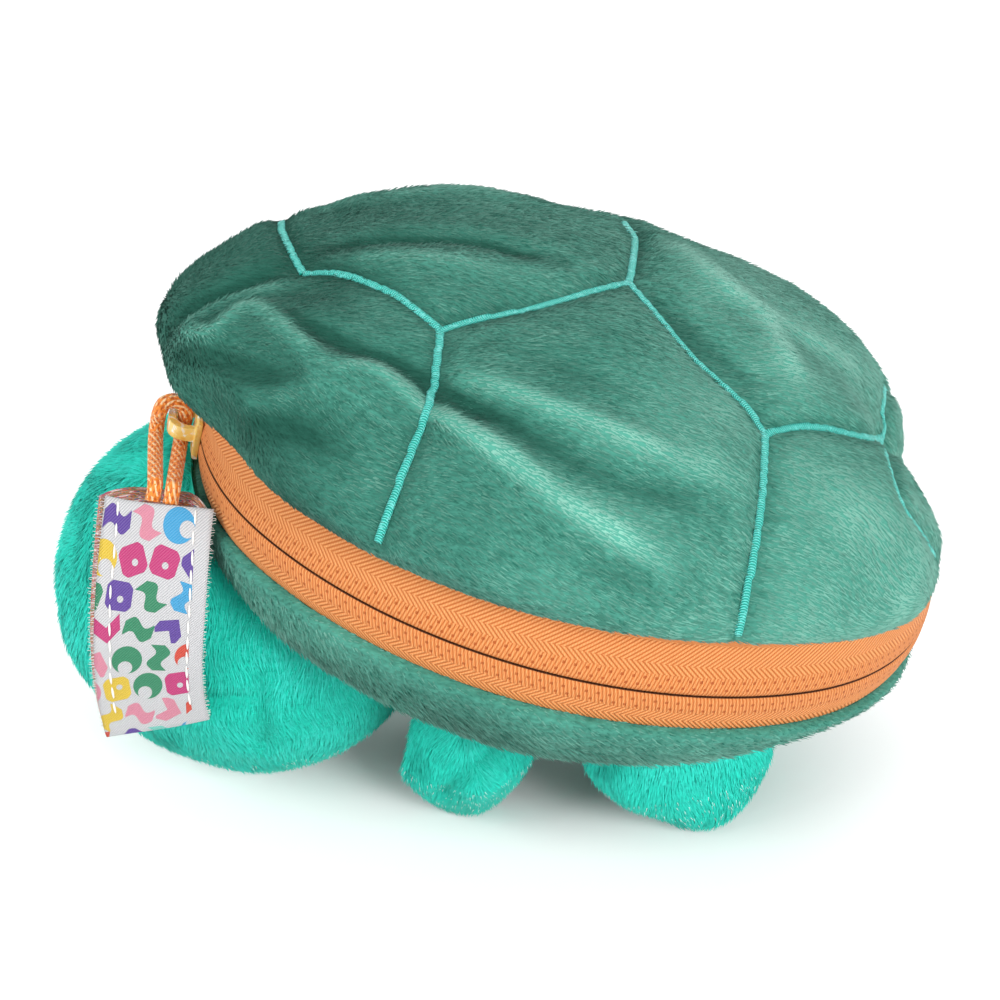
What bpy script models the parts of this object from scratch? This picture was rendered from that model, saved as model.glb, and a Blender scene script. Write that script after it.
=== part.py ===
# A plush turtle whose shell is a padded pouch with a zip round its rim
import bpy
import bmesh
from math import asin, atan2, ceil, cos, degrees, exp, hypot, pi, radians, sin
from mathutils import Vector

mm = 0.001

# Fit between pieces that touch
gap = 0.3 * mm
overrun = 20 * mm
flatCut = 0.5 * mm

# Rim of the shell: an oval of four arcs, leaning up at the front
rimHalfLength = 79 * mm
rimHalfWidth = 68 * mm
rimEndShare = 0.912
rimHeight = 69.8 * mm
rimPitch = radians(13.4)

# Shell halves
domeRise = 50 * mm
dishDepth = 40 * mm
domeFrontShare = 2.05
domeRearShare = 1.9
dishCurveShare = 1.95
domePuffFront = 8 * mm
domePuffRear = -3.5 * mm
domePuffSide = 3.5 * mm
domeSwell = 12.5 * mm
seamDepth = 1.6 * mm
scutePuff = 1.1 * mm
seamReach = 9 * mm
creaseDepth = 2.8 * mm
shoulderHeight = 19 * mm
bandLean = 1.2 * mm
dishLean = 2 * mm
coverThickness = 1.8 * mm
paddingThickness = 2.2 * mm
liningThickness = 0.7 * mm
innerEdge = 6 * mm

# Zip
tapeThickness = 0.6 * mm
upperTapeShows = 11 * mm
lowerTapeShows = 9 * mm
tapeTuck = 3 * mm
tapeHalfGap = 0.3 * mm
coilRadius = 1.0 * mm
coilSetIn = 1.3 * mm
slideSpread = 1.2 * mm
zipFrontAngle = radians(187.5)
zipRearAngle = radians(-37.5)
stopLength = 3 * mm
stopThickness = 1.6 * mm
stopHeight = 2.4 * mm

# Slider
sliderAngle = radians(167.5)
sliderLength = 16 * mm
sliderWideHalf = 5 * mm
sliderNarrowHalf = 4.2 * mm
plateThickness = 1.2 * mm
flangeThickness = 0.7 * mm
lipClearance = 0.6 * mm
neckLength = 3 * mm
neckThickness = 1.6 * mm
bridgeLength = 11.5 * mm
bridgeRise = 5.4 * mm
bridgeThickness = 1.6 * mm
bridgeWidth = 3 * mm
bridgeArchShare = 0.6
neckClearance = 0.3 * mm

# Cord and label
cordDiameter = 3 * mm
strandSpacing = 4 * mm
labelWidth = 21 * mm
labelThickness = 1.2 * mm
labelStandOff = 2.6 * mm
labelLift = 9 * mm
labelAzimuth = radians(79)
labelTopElevation = radians(48)
labelBottomElevation = radians(-14)
topShare = 0.1

# Head
headHalfWidth = 42.5 * mm
headRise = 39 * mm
headDrop = 42.9 * mm
headReach = 71 * mm
skinThickness = 2 * mm
eyeRadius = 3 * mm
eyeRise = 1.6 * mm
eyeAzimuth = radians(72)
eyeElevation = radians(12)

# Legs
legBehindHead = 11 * mm
legSpacing = 45.5 * mm
frontLegLong = 15 * mm
frontLegWide = 12.5 * mm
frontLegTall = 24 * mm
rearLegLong = 20 * mm
rearLegWide = 13.5 * mm
rearLegTall = 19 * mm
legSpread = 17.5 * mm

# Counts
aroundCount = 48
ringCount = 5
domeRings = 9
innerAround = 32
innerRings = 4
coilSides = 6
headAround = 26
headRings = 14
legAround = 16
legRings = 9

# Finishes: a colour, then its roughness; nothing here is metal
domePlush = ((0.03, 0.20, 0.14), 0.95)
aquaPlush = ((0.10, 0.55, 0.50), 0.9)
orangeTape = ((0.85, 0.28, 0.04), 0.8)
orangeCord = ((0.85, 0.25, 0.03), 0.7)
coilNylon = ((0.85, 0.28, 0.04), 0.4)
yellowPlastic = ((0.90, 0.75, 0.25), 0.3)
labelSatin = ((0.90, 0.88, 0.84), 0.5)
wadding = ((0.80, 0.80, 0.78), 1)
liningCloth = ((0.20, 0.30, 0.38), 0.6)
eyeBlack = ((0.01, 0.01, 0.01), 0.1)

# Offsets of each layer outward from the outer face of the tapes
coverInner = gap
coverOuter = coverInner + coverThickness
paddingOuter = -tapeThickness - gap
paddingInner = paddingOuter - paddingThickness
liningOuter = paddingInner - gap
liningInner = liningOuter - liningThickness
coilOffset = -tapeThickness - gap - coilRadius
plateInner = gap
plateOuter = plateInner + plateThickness
backOuter = coilOffset - coilRadius - gap
backInner = backOuter - plateThickness
barInner = plateOuter + bridgeRise - bridgeThickness

# Radii and centres of the four arcs
rimEndRadius = rimHalfWidth * rimEndShare
endCentre = rimHalfLength - rimEndRadius
sideStep = rimHalfWidth - rimEndRadius
sideDrop = (endCentre ** 2 - sideStep ** 2) / (2 * sideStep)
sideRadius = rimHalfWidth + sideDrop
endSpan = atan2(sideDrop, endCentre)

rimAlong = Vector((cos(rimPitch), 0, -sin(rimPitch)))
rimNear = Vector((0, -1, 0))
rimUp = Vector((sin(rimPitch), 0, cos(rimPitch)))
rimCentre = Vector((0, 0, rimHeight))

# The front legs stand behind the head, and the rear ones behind them
frontLegPlace = headReach - headHalfWidth - legBehindHead
rearLegPlace = legSpacing - frontLegPlace


def clearScene():
    for item in list(bpy.data.objects):
        bpy.data.objects.remove(item, do_unlink=True)


def toWorld(u, v, w):
    return rimCentre + rimAlong * u + rimNear * v + rimUp * w


# A point of the rim oval, moved outward; the angle is that of its normal
def rimPoint(angle, offset):
    c, s = cos(angle), sin(angle)
    fromEnd = abs(atan2(s, abs(c)))
    if fromEnd <= endSpan:
        side = 1 if c > 0 else -1
        return side * endCentre + (rimEndRadius + offset) * c, (rimEndRadius + offset) * s
    side = 1 if s > 0 else -1
    return (sideRadius + offset) * c, -side * sideDrop + (sideRadius + offset) * s


# Shares of the profile where the tape ends and the lid's puffed shoulder is reached, and how far
# past its start a layer's next ring may be
edgeShare = 0.16
shoulderShare = 0.32
nextStationShare = 1.0001

# Where the lid stands out or is pressed in: the direction and its spread in degrees, with the
# amount between them as a share of the greatest one
swellShares = ((-9, -1, 15), (30, 0.24, 13), (84, 0.0659, 26), (148, 0.24, 13), (200, -0.12, 16),
               (245, 0.16, 18), (298, 0.16, 10))

# The seams between the shell's plates, seen from above: their ends as shares of the half length
# and half width, with the near side's first; then the crease over the head
seamLineShares = (((-0.79, 0.26), (-0.41, 0.50)), ((-0.41, 0.50), (0, 0.02)), ((0, 0.02), (0.415, 0.52)),
                  ((0.415, 0.52), (0.72, 0.20)), ((-0.41, 0.50), (-0.40, 0.98)),
                  ((0.415, 0.52), (0.465, 0.95)), ((0.72, 0.20), (0.93, 0.40)),
                  ((-0.79, 0.26), (-0.85, -0.50)), ((0, 0.02), (-0.04, -0.62)),
                  ((0.72, 0.20), (0.76, -0.50)), ((-0.85, -0.50), (-0.43, -0.78)),
                  ((-0.43, -0.78), (-0.04, -0.62)), ((-0.04, -0.62), (0.45, -0.76)),
                  ((0.45, -0.76), (0.76, -0.50)))
creaseLineShares = ((-0.80, 0.29), (-1.06, 0.37))
foldStartShare = 0.2
foldFullShare = 0.4


# Where on the profile, from 0 at the rim to 1 at the pole, a height is reached
def shareAt(upper, height):
    shown = upperTapeShows if upper else lowerTapeShows
    if height <= shown:
        return edgeShare * height / shown
    if upper:
        climb = (height - shown) / (shoulderHeight - shown)
        return edgeShare + (shoulderShare - edgeShare) * climb
    climb = asin(((height - shown) / (dishDepth - shown)) ** (dishCurveShare / 2)) * 2 / pi
    return edgeShare + (1 - edgeShare) * climb


# Shares of the rings from a start to near the pole, the same ones for every layer
def stations(upper, start, rings):
    shown = upperTapeShows if upper else lowerTapeShows
    tucked = shown + tapeTuck + (gap if upper else 0)
    common = [shareAt(upper, shown), shareAt(upper, tucked)]
    if upper:
        common.append(shoulderShare)
    last = common[-1]
    common += [last + (1 - last) * i / rings for i in range(1, rings)]
    return [start] + [share for share in common if share > start * nextStationShare]


def puffAt(angle):
    c = cos(angle)
    puff = domePuffSide * (1 - c * c) + (domePuffFront if c < 0 else domePuffRear) * c * c
    for place, amount, spread in swellShares:
        away = (degrees(angle) - place + 180) % 360 - 180
        puff += domeSwell * amount * exp(-(away / spread) ** 2 / 2)
    return puff


# How far a point is from a seam's line, both seen from above
def awayFrom(u, v, line):
    (startU, startV), (endU, endV) = [(a * rimHalfLength, b * rimHalfWidth) for a, b in line]
    alongU, alongV = endU - startU, endV - startV
    share = ((u - startU) * alongU + (v - startV) * alongV) / (alongU ** 2 + alongV ** 2)
    share = min(max(share, 0), 1)
    return hypot(u - startU - alongU * share, v - startV - alongV * share)


# The lid's relief: plates puffed between sunken seams, and the crease over the head
def foldAt(u, v, share):
    full = min(max((share - foldStartShare) / (foldFullShare - foldStartShare), 0), 1)
    near = exp(-(min(awayFrom(u, v, line) for line in seamLineShares) / seamReach) ** 2)
    crease = exp(-(awayFrom(u, v, creaseLineShares) / seamReach) ** 2)
    return full * (scutePuff * (1 - near) - seamDepth * near - creaseDepth * crease)


def lidPoint(angle, offset, share):
    if share <= edgeShare:
        climb = share / edgeShare
        return toWorld(*rimPoint(angle, offset - bandLean * climb * climb), upperTapeShows * climb)
    if share <= shoulderShare:
        climb = (share - edgeShare) / (shoulderShare - edgeShare)
        out = (puffAt(angle) + bandLean) * sin(climb * pi / 2) - bandLean
        height = upperTapeShows + (shoulderHeight - upperTapeShows) * climb
        offset += foldAt(*rimPoint(angle, out), share)
        return toWorld(*rimPoint(angle, offset + out), height)
    turn = (share - shoulderShare) / (1 - shoulderShare) * pi / 2
    curve = domeFrontShare + (domeRearShare - domeFrontShare) * (1 + cos(angle)) / 2
    radiusShare = cos(turn) ** (2 / curve) if share < 1 else 0
    heightShare = sin(turn) ** (2 / curve)
    puff = puffAt(angle)
    u, v = rimPoint(angle, puff)
    offset += foldAt(u * radiusShare, v * radiusShare, share)
    u, v = rimPoint(angle, offset + puff)
    return toWorld(u * radiusShare, v * radiusShare,
                   shoulderHeight + (domeRise + offset - shoulderHeight) * heightShare)


def dishPoint(angle, offset, share):
    if share <= edgeShare:
        climb = share / edgeShare
        return toWorld(*rimPoint(angle, offset - dishLean * climb ** 3), -lowerTapeShows * climb)
    turn = (share - edgeShare) / (1 - edgeShare) * pi / 2
    radiusShare = cos(turn) ** (2 / dishCurveShare) if share < 1 else 0
    heightShare = sin(turn) ** (2 / dishCurveShare)
    u, v = rimPoint(angle, offset - dishLean)
    return toWorld(u * radiusShare, v * radiusShare,
                   -lowerTapeShows - (dishDepth + offset - lowerTapeShows) * heightShare)


def shellPoint(upper, angle, offset, share):
    return lidPoint(angle, offset, share) if upper else dishPoint(angle, offset, share)


def addNode(name, verts, faces, finish, origin=Vector((0, 0, 0))):
    mesh = bpy.data.meshes.new(name)
    mesh.from_pydata([tuple(Vector(p) - origin) for p in verts], [], faces)
    bm = bmesh.new()
    bm.from_mesh(mesh)
    bmesh.ops.recalc_face_normals(bm, faces=bm.faces)
    bm.to_mesh(mesh)
    bm.free()
    node = bpy.data.objects.new(name, mesh)
    node.location = origin
    bpy.context.scene.collection.objects.link(node)
    paint(node, finish)
    return node


def paint(node, finish):
    colour, roughness = finish
    material = bpy.data.materials.new(node.name)
    material.use_nodes = True
    shader = material.node_tree.nodes["Principled BSDF"]
    shader.inputs["Base Color"].default_value = (*colour, 1)
    shader.inputs["Roughness"].default_value = roughness
    shader.inputs["Metallic"].default_value = 0
    node.data.materials.clear()
    node.data.materials.append(material)


# Faces joining rings of equal point counts, capped at both ends unless closed
def loft(rings, closed=False):
    count = len(rings[0])
    verts = [p for ring in rings for p in ring]
    faces = []
    spans = len(rings) if closed else len(rings) - 1
    for i in range(spans):
        a, b = i * count, ((i + 1) % len(rings)) * count
        for j in range(count):
            k = (j + 1) % count
            faces.append((a + j, a + k, b + k, b + j))
    if not closed:
        faces.append(tuple(range(count)))
        faces.append(tuple(range((len(rings) - 1) * count, len(rings) * count)))
    return verts, faces


# A dome or dish with a wall, open at the rim
def bowl(upper, startHeight, outer, inner, around, ringTotal):
    shares = stations(upper, shareAt(upper, startHeight), ringTotal)
    angles = [2 * pi * i / around for i in range(around)]
    verts, faces = [], []
    for offset in (outer, inner):
        verts += [shellPoint(upper, a, offset, s) for s in shares for a in angles]
        verts.append(shellPoint(upper, 0, offset, 1))
    sheet = len(shares) * around + 1
    for layer in range(2):
        base = layer * sheet
        for i in range(len(shares) - 1):
            for j in range(around):
                k = (j + 1) % around
                a, b = base + i * around, base + (i + 1) * around
                faces.append((a + j, a + k, b + k, b + j))
        last = base + (len(shares) - 1) * around
        faces += [(last + j, last + (j + 1) % around, base + sheet - 1) for j in range(around)]
    faces += [(j, (j + 1) % around, sheet + (j + 1) % around, sheet + j)
              for j in range(around)]
    return verts, faces


# The whole space of the dish and its cover, for cutting what is sewn against it
def bowlCutter():
    shares = stations(False, 0, ringCount)
    angles = [2 * pi * i / aroundCount for i in range(aroundCount)]
    offset = coverOuter + gap
    top = [toWorld(*rimPoint(a, offset), overrun) for a in angles]
    rings = [top] + [[shellPoint(False, a, offset, s) for a in angles] for s in shares]
    verts = [p for ring in rings for p in ring] + [shellPoint(False, 0, offset, 1)]
    faces = [tuple(range(aroundCount))]
    for i in range(len(rings) - 1):
        for j in range(aroundCount):
            k = (j + 1) % aroundCount
            a, b = i * aroundCount, (i + 1) * aroundCount
            faces.append((a + j, a + k, b + k, b + j))
    last = (len(rings) - 1) * aroundCount
    faces += [(last + j, last + (j + 1) % aroundCount, len(verts) - 1) for j in range(aroundCount)]
    cutter = addNode("dish_cutter", verts, faces, domePlush)
    cutter.hide_render = True
    cutter.display_type = "WIRE"
    return cutter


def cut(node, cutter, operation="DIFFERENCE"):
    modifier = node.modifiers.new("cut", "BOOLEAN")
    modifier.operation = operation
    modifier.solver = "EXACT"
    modifier.object = cutter
    bpy.context.view_layer.update()
    graph = bpy.context.evaluated_depsgraph_get()
    mesh = bpy.data.meshes.new_from_object(node.evaluated_get(graph))
    node.modifiers.clear()
    node.data = mesh


def zipAngles(start, end):
    count = ceil(abs(end - start) / (2 * pi) * aroundCount)
    return [start + (end - start) * i / count for i in range(count + 1)]


# How far the two sides of the zip stand apart in front of the slider's middle
def spreadAt(angle):
    travel = (angle - sliderAngle) * rimEndRadius
    share = min(max(travel / (sliderLength / 2 - neckLength), 0), 1)
    return slideSpread * share * share * (3 - 2 * share)


# A woven tape from the zip's middle to its tuck under the cover
def tapeBand(upper, shows):
    edge, top = shareAt(upper, shows), shareAt(upper, shows + tapeTuck)
    rings = []
    for angle in zipAngles(zipRearAngle, zipFrontAngle):
        low = shareAt(upper, tapeHalfGap + spreadAt(angle))
        shares = [low, shareAt(upper, innerEdge), edge, top]
        rings.append([shellPoint(upper, angle, 0, s) for s in shares]
                     + [shellPoint(upper, angle, -tapeThickness, s) for s in reversed(shares)])
    return loft(rings)


def coilTube(upper):
    side = 1 if upper else -1
    rings = []
    for angle in zipAngles(zipRearAngle, zipFrontAngle):
        height = side * (coilSetIn + spreadAt(angle))
        rings.append([toWorld(*rimPoint(angle, coilOffset + coilRadius * cos(t)),
                              height + coilRadius * sin(t))
                      for t in [2 * pi * i / coilSides for i in range(coilSides)]])
    return loft(rings)


# The plush strip that closes the far side, between the two covers' edges
def hingeGusset():
    low, high = lowerTapeShows - gap, upperTapeShows - gap
    side = gap / rimEndRadius
    angles = zipAngles(zipFrontAngle, 2 * pi + zipRearAngle)
    angles = [angles[0] + side] + angles[1:-1] + [angles[-1] - side]
    profile = ((False, low), (False, low / 2), (True, high / 2), (True, high))
    rings = []
    for angle in angles:
        rings.append([shellPoint(upper, angle, coverOuter, shareAt(upper, height))
                      for upper, height in profile]
                     + [shellPoint(upper, angle, coverInner, shareAt(upper, height))
                        for upper, height in reversed(profile)])
    return loft(rings)


def sweptBlock(angles, profileAt):
    rings = []
    for angle in angles:
        rings.append([toWorld(*rimPoint(angle, offset), height) for offset, height in profileAt(angle)])
    return loft(rings)


def sliderNode(origin):
    half = sliderLength / 2 / rimEndRadius
    count = 8
    angles = [sliderAngle - half + 2 * half * i / count for i in range(count + 1)]

    def widthAt(angle):
        share = (angle - sliderAngle + half) / (2 * half)
        return sliderNarrowHalf + (sliderWideHalf - sliderNarrowHalf) * share

    def front(angle):
        w = widthAt(angle)
        bevel = plateThickness / 3
        return [(plateInner, -w), (plateOuter - bevel, -w), (plateOuter, bevel - w),
                (plateOuter, w - bevel), (plateOuter - bevel, w), (plateInner, w)]

    def back(angle):
        w = widthAt(angle)
        lip = -tapeThickness - lipClearance
        return [(backInner, -w), (lip, -w), (lip, flangeThickness - w), (backOuter, flangeThickness - w),
                (backOuter, w - flangeThickness), (lip, w - flangeThickness), (lip, w), (backInner, w)]

    def neck(angle):
        h = neckThickness / 2
        inner = (backInner + backOuter) / 2
        outer = (plateInner + plateOuter) / 2
        return [(inner, -h), (outer, -h), (outer, h), (inner, h)]

    body = addNode("zip_slider", *sweptBlock(angles, front), yellowPlastic, origin)
    neckSpan = neckLength / rimEndRadius
    pieces = [sweptBlock(angles, back),
              sweptBlock([sliderAngle + half - neckSpan, sliderAngle + half - neckSpan / 2,
                          sliderAngle + half - neckClearance / rimEndRadius], neck),
              bridgeArch()]
    for verts, faces in pieces:
        extra = addNode("slider_piece", verts, faces, yellowPlastic)
        cut(body, extra, "UNION")
        bpy.data.objects.remove(extra, do_unlink=True)
    paint(body, yellowPlastic)
    return body


# The loop that the cord goes through, standing on the slider's outer plate
def bridgeArch():
    steps = 12
    rings = []
    sink = plateThickness / 2
    for i in range(steps + 1):
        turn = pi * i / steps
        ring = []
        for depth, height in ((0, -1), (0, 1), (1, 1), (1, -1)):
            length = bridgeLength / 2 - depth * bridgeThickness
            rise = bridgeRise + sink - depth * bridgeThickness
            along = length * abs(cos(turn)) ** bridgeArchShare * (1 if cos(turn) > 0 else -1)
            offset = plateOuter - sink + rise * abs(sin(turn)) ** bridgeArchShare
            u, v = rimPoint(sliderAngle + along / rimEndRadius, offset)
            ring.append(toWorld(u, v, height * bridgeWidth / 2))
        rings.append(ring)
    return loft(rings)


def headPoint(azimuth, elevation, standOff):
    centre = Vector((-headReach, 0, headDrop - flatCut))
    rise = headRise if elevation > 0 else headDrop
    flat = cos(elevation) * (headHalfWidth + standOff)
    return centre + Vector((-flat * cos(azimuth), -flat * sin(azimuth), (rise + standOff) * sin(elevation)))


# Middle point, width direction and outward direction along the label
def labelFrame(share):
    elevation = labelTopElevation + (labelBottomElevation - labelTopElevation) * share
    stand = labelStandOff + labelThickness / 2 + labelLift * (1 - share) ** 2
    middle = headPoint(labelAzimuth, elevation, stand)
    wide = Vector((sin(labelAzimuth), -cos(labelAzimuth), 0))
    lower = headPoint(labelAzimuth, elevation - gap / headHalfWidth, stand)
    out = (lower - middle).cross(wide).normalized()
    if out.dot(middle - Vector((-headReach, 0, headDrop))) < 0:
        out.negate()
    return middle, wide, out


def labelSolid():
    steps = 12
    rings = []
    for i in range(steps + 1):
        middle, wide, out = labelFrame(i / steps)
        rings.append([middle + wide * (a * labelWidth / 2) + out * (b * labelThickness / 2)
                      for a, b in ((-1, -1), (1, -1), (1, 1), (-1, 1))])
    return loft(rings)


# From the label up through the bridge, over its bar and down to the label again
def cordRoute():
    middle, wide, out = labelFrame(0)
    up = (middle - labelFrame(topShare)[0]).normalized()
    lower = middle + up * gap
    hole = (plateOuter + barInner) / 2
    outside = barInner + bridgeThickness + gap + cordDiameter / 2
    over = (hole + outside) / 2
    loop = (outside - hole) / 2
    turn = bridgeWidth / 2
    place = [(hole, -turn - cordDiameter), (hole, turn)]
    place += [(over - loop * cos(t), turn + loop * sin(t)) for t in (pi / 4, pi / 2, 3 * pi / 4)]
    place += [(outside, turn), (outside, -turn - cordDiameter)]
    apart = wide * (strandSpacing / 2)
    route = [lower + apart, lower + up * cordDiameter + apart]
    route += [toWorld(*rimPoint(sliderAngle, offset), height) for offset, height in place]
    route += [lower + up * cordDiameter - apart, lower - apart]
    return route


# Points of a smooth curve through a route, about one step apart
def smoothPoints(route, step):
    points = [route[0]]
    for i in range(len(route) - 1):
        p0 = route[max(i - 1, 0)]
        p1, p2 = route[i], route[i + 1]
        p3 = route[min(i + 2, len(route) - 1)]
        count = max(1, round((p2 - p1).length / step))
        for k in range(1, count + 1):
            t = k / count
            points.append(0.5 * (2 * p1 + (p2 - p0) * t + (2 * p0 - 5 * p1 + 4 * p2 - p3) * t * t
                                 + (3 * p1 - p0 - 3 * p2 + p3) * t ** 3))
    return points


def cordNode(origin):
    points = smoothPoints(cordRoute(), cordDiameter)
    length = sum((b - a).length for a, b in zip(points, points[1:]))
    print("cord length mm", round(length / mm, 1), "points", len(points))
    curve = bpy.data.curves.new("pull_cord", "CURVE")
    curve.dimensions = "3D"
    curve.bevel_depth = cordDiameter / 2
    curve.bevel_resolution = 2
    curve.use_fill_caps = True
    spline = curve.splines.new("POLY")
    spline.points.add(len(points) - 1)
    for place, point in zip(spline.points, points):
        place.co = (*(point - origin), 1)
    node = bpy.data.objects.new("pull_cord", curve)
    node.location = origin
    bpy.context.scene.collection.objects.link(node)
    paint(node, orangeCord)
    return node


# A swollen ball with its own height above and below its middle, cut flat where it stands
def stuffedBall(centre, halfLong, halfWide, rise, drop, around, rings):
    verts = [centre + Vector((0, 0, rise))]
    for i in range(1, rings):
        polar = pi * i / rings
        height = cos(polar) * (rise if polar < pi / 2 else drop)
        for j in range(around):
            turn = 2 * pi * j / around
            verts.append(centre + Vector((halfLong * sin(polar) * cos(turn),
                                          halfWide * sin(polar) * sin(turn), height)))
    verts.append(centre - Vector((0, 0, drop)))
    faces = [(0, 1 + j, 1 + (j + 1) % around) for j in range(around)]
    for i in range(rings - 2):
        for j in range(around):
            k = (j + 1) % around
            a, b = 1 + i * around, 1 + (i + 1) * around
            faces.append((a + j, b + j, b + k, a + k))
    last = 1 + (rings - 2) * around
    faces += [(last + j, len(verts) - 1, last + (j + 1) % around) for j in range(around)]
    return verts, faces


def cutFlat(node):
    bm = bmesh.new()
    bm.from_mesh(node.data)
    shift = node.location
    cutting = bmesh.ops.bisect_plane(bm, geom=bm.verts[:] + bm.edges[:] + bm.faces[:],
                                     plane_co=-shift, plane_no=(0, 0, -1), clear_outer=True)
    edges = [e for e in cutting["geom_cut"] if isinstance(e, bmesh.types.BMEdge)]
    bmesh.ops.contextual_create(bm, geom=edges)
    bmesh.ops.recalc_face_normals(bm, faces=bm.faces)
    bm.to_mesh(node.data)
    bm.free()


# A skin with its sewn opening against the dish, and the stuffing inside
def stuffed(name, centre, halfLong, halfWide, rise, drop, around, rings, cutter):
    def size(inset):
        return (halfLong - inset, halfWide - inset, rise - inset, drop - inset, around, rings)
    skin = addNode(name + "_skin", *stuffedBall(centre, *size(0)), aquaPlush)
    cutFlat(skin)
    inner = addNode(name + "_hollow", *stuffedBall(centre, *size(skinThickness)), aquaPlush)
    cut(skin, inner)
    bpy.data.objects.remove(inner, do_unlink=True)
    cut(skin, cutter)
    paint(skin, aquaPlush)
    filling = addNode(name + "_filling", *stuffedBall(centre, *size(skinThickness + gap)), wadding)
    cut(filling, cutter)
    paint(filling, wadding)


# A domed button eye, its flat back just off the head
def eyeNode(name, side):
    base = headPoint(side * eyeAzimuth, eyeElevation, gap)
    out = (base - headPoint(side * eyeAzimuth, eyeElevation, -skinThickness)).normalized()
    wide = out.cross(Vector((0, 0, 1))).normalized()
    tall = wide.cross(out)
    count, levels = 16, 3
    rings = []
    for i in range(levels + 1):
        angle = pi / 2 * i / (levels + 1)
        middle = base + out * (eyeRise * sin(angle))
        radius = eyeRadius * cos(angle)
        rings.append([middle + (wide * cos(t) + tall * sin(t)) * radius
                      for t in [2 * pi * j / count for j in range(count)]])
    addNode(name, *loft(rings), eyeBlack)


# A small end stop lying on the outer face of the tape, between two heights
def stopNode(name, angle, low, high, origin=Vector((0, 0, 0))):
    half = stopLength / 2 / rimEndRadius
    corners = [(gap, low), (gap + stopThickness, low), (gap + stopThickness, high), (gap, high)]
    addNode(name, *sweptBlock([angle - half, angle, angle + half], lambda _: corners), coilNylon, origin)


# Moves everything so that the box's bottom centre is the origin, and returns the move
def sitOnOrigin():
    bpy.context.view_layer.update()
    corners = []
    graph = bpy.context.evaluated_depsgraph_get()
    for node in bpy.context.scene.objects:
        if node.hide_render:
            continue
        mesh = node.evaluated_get(graph).to_mesh()
        corners += [node.matrix_world @ v.co for v in mesh.vertices]
        node.evaluated_get(graph).to_mesh_clear()
    low = [min(c[i] for c in corners) for i in range(3)]
    high = [max(c[i] for c in corners) for i in range(3)]
    move = -Vector(((low[0] + high[0]) / 2, (low[1] + high[1]) / 2, low[2]))
    for node in bpy.context.scene.objects:
        node.location = node.location + move
    print("box mm", [round((b - a) / mm, 2) for a, b in zip(low, high)])
    print("move mm", [round(m / mm, 3) for m in move])
    return move


def build():
    clearScene()
    lidOrigin = toWorld(0, -rimHalfWidth - coverOuter - gap, 0)
    slideOrigin = toWorld(-endCentre, 0, 0)
    bar = toWorld(*rimPoint(sliderAngle, barInner + bridgeThickness / 2), 0)
    cutter = bowlCutter()
    domeParts = (("dome_cover", upperTapeShows, coverOuter, coverInner, domePlush),
                 ("dome_padding", upperTapeShows + tapeTuck + gap, paddingOuter, paddingInner, wadding),
                 ("dome_lining", innerEdge, liningOuter, liningInner, liningCloth))
    for name, start, outer, inner, finish in domeParts:
        addNode(name, *bowl(True, start, outer, inner, aroundCount, domeRings), finish, lidOrigin)
    dishParts = (("base_cover", lowerTapeShows, coverOuter, coverInner, domePlush),
                 ("base_padding", innerEdge, paddingOuter, paddingInner, wadding),
                 ("base_lining", innerEdge, liningOuter, liningInner, liningCloth))
    for name, start, outer, inner, finish in dishParts:
        counts = (aroundCount, ringCount) if name == "base_cover" else (innerAround, innerRings)
        addNode(name, *bowl(False, start, outer, inner, *counts), finish)
    addNode("upper_zip_tape", *tapeBand(True, upperTapeShows), orangeTape, lidOrigin)
    addNode("lower_zip_tape", *tapeBand(False, lowerTapeShows), orangeTape)
    addNode("upper_zip_coil", *coilTube(True), coilNylon, lidOrigin)
    addNode("lower_zip_coil", *coilTube(False), coilNylon)
    frontStop = zipFrontAngle - stopLength / rimEndRadius
    edge = tapeHalfGap + slideSpread
    stopNode("upper_zip_stop", frontStop, edge, edge + stopHeight, lidOrigin)
    stopNode("lower_zip_stop", frontStop, -edge - stopHeight, -edge)
    stopNode("rear_zip_stop", zipRearAngle + stopLength / rimEndRadius, -stopHeight, stopHeight)
    addNode("hinge_gusset", *hingeGusset(), domePlush)
    stuffed("head", Vector((-headReach, 0, headDrop - flatCut)), headHalfWidth, headHalfWidth,
            headRise, headDrop, headAround, headRings, cutter)
    legs = (("front_leg", -frontLegPlace, frontLegLong, frontLegWide, frontLegTall),
            ("rear_leg", rearLegPlace, rearLegLong, rearLegWide, rearLegTall))
    for name, along, halfLong, halfWide, tall in legs:
        for side, word in ((-1, "near"), (1, "far")):
            stuffed(name + "_" + word, Vector((along, side * legSpread, tall - flatCut)),
                    halfLong, halfWide, tall, tall, legAround, legRings, cutter)
    bpy.data.objects.remove(cutter, do_unlink=True)
    eyeNode("eye_near", 1)
    eyeNode("eye_far", -1)
    sliderNode(slideOrigin)
    cordNode(bar)
    addNode("pull_label", *labelSolid(), labelSatin, bar)
    move = sitOnOrigin()
    for name, point in (("lid", lidOrigin), ("slide", slideOrigin), ("bar", bar)):
        print(name, [round(c / mm, 4) for c in point + move])
    tangent = rimAlong * -sin(sliderAngle) + rimNear * cos(sliderAngle)
    for name, axis in (("lid axis", -rimAlong), ("slide axis", rimUp), ("swing axis", tangent)):
        print(name, [round(c, 6) for c in axis])


build()
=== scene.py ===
from math import atan2, cos, degrees, exp, hypot, pi, radians, sin

import bmesh
import bpy
import numpy as np
from mathutils import Matrix, Vector, noise
from mathutils.bvhtree import BVHTree


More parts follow.
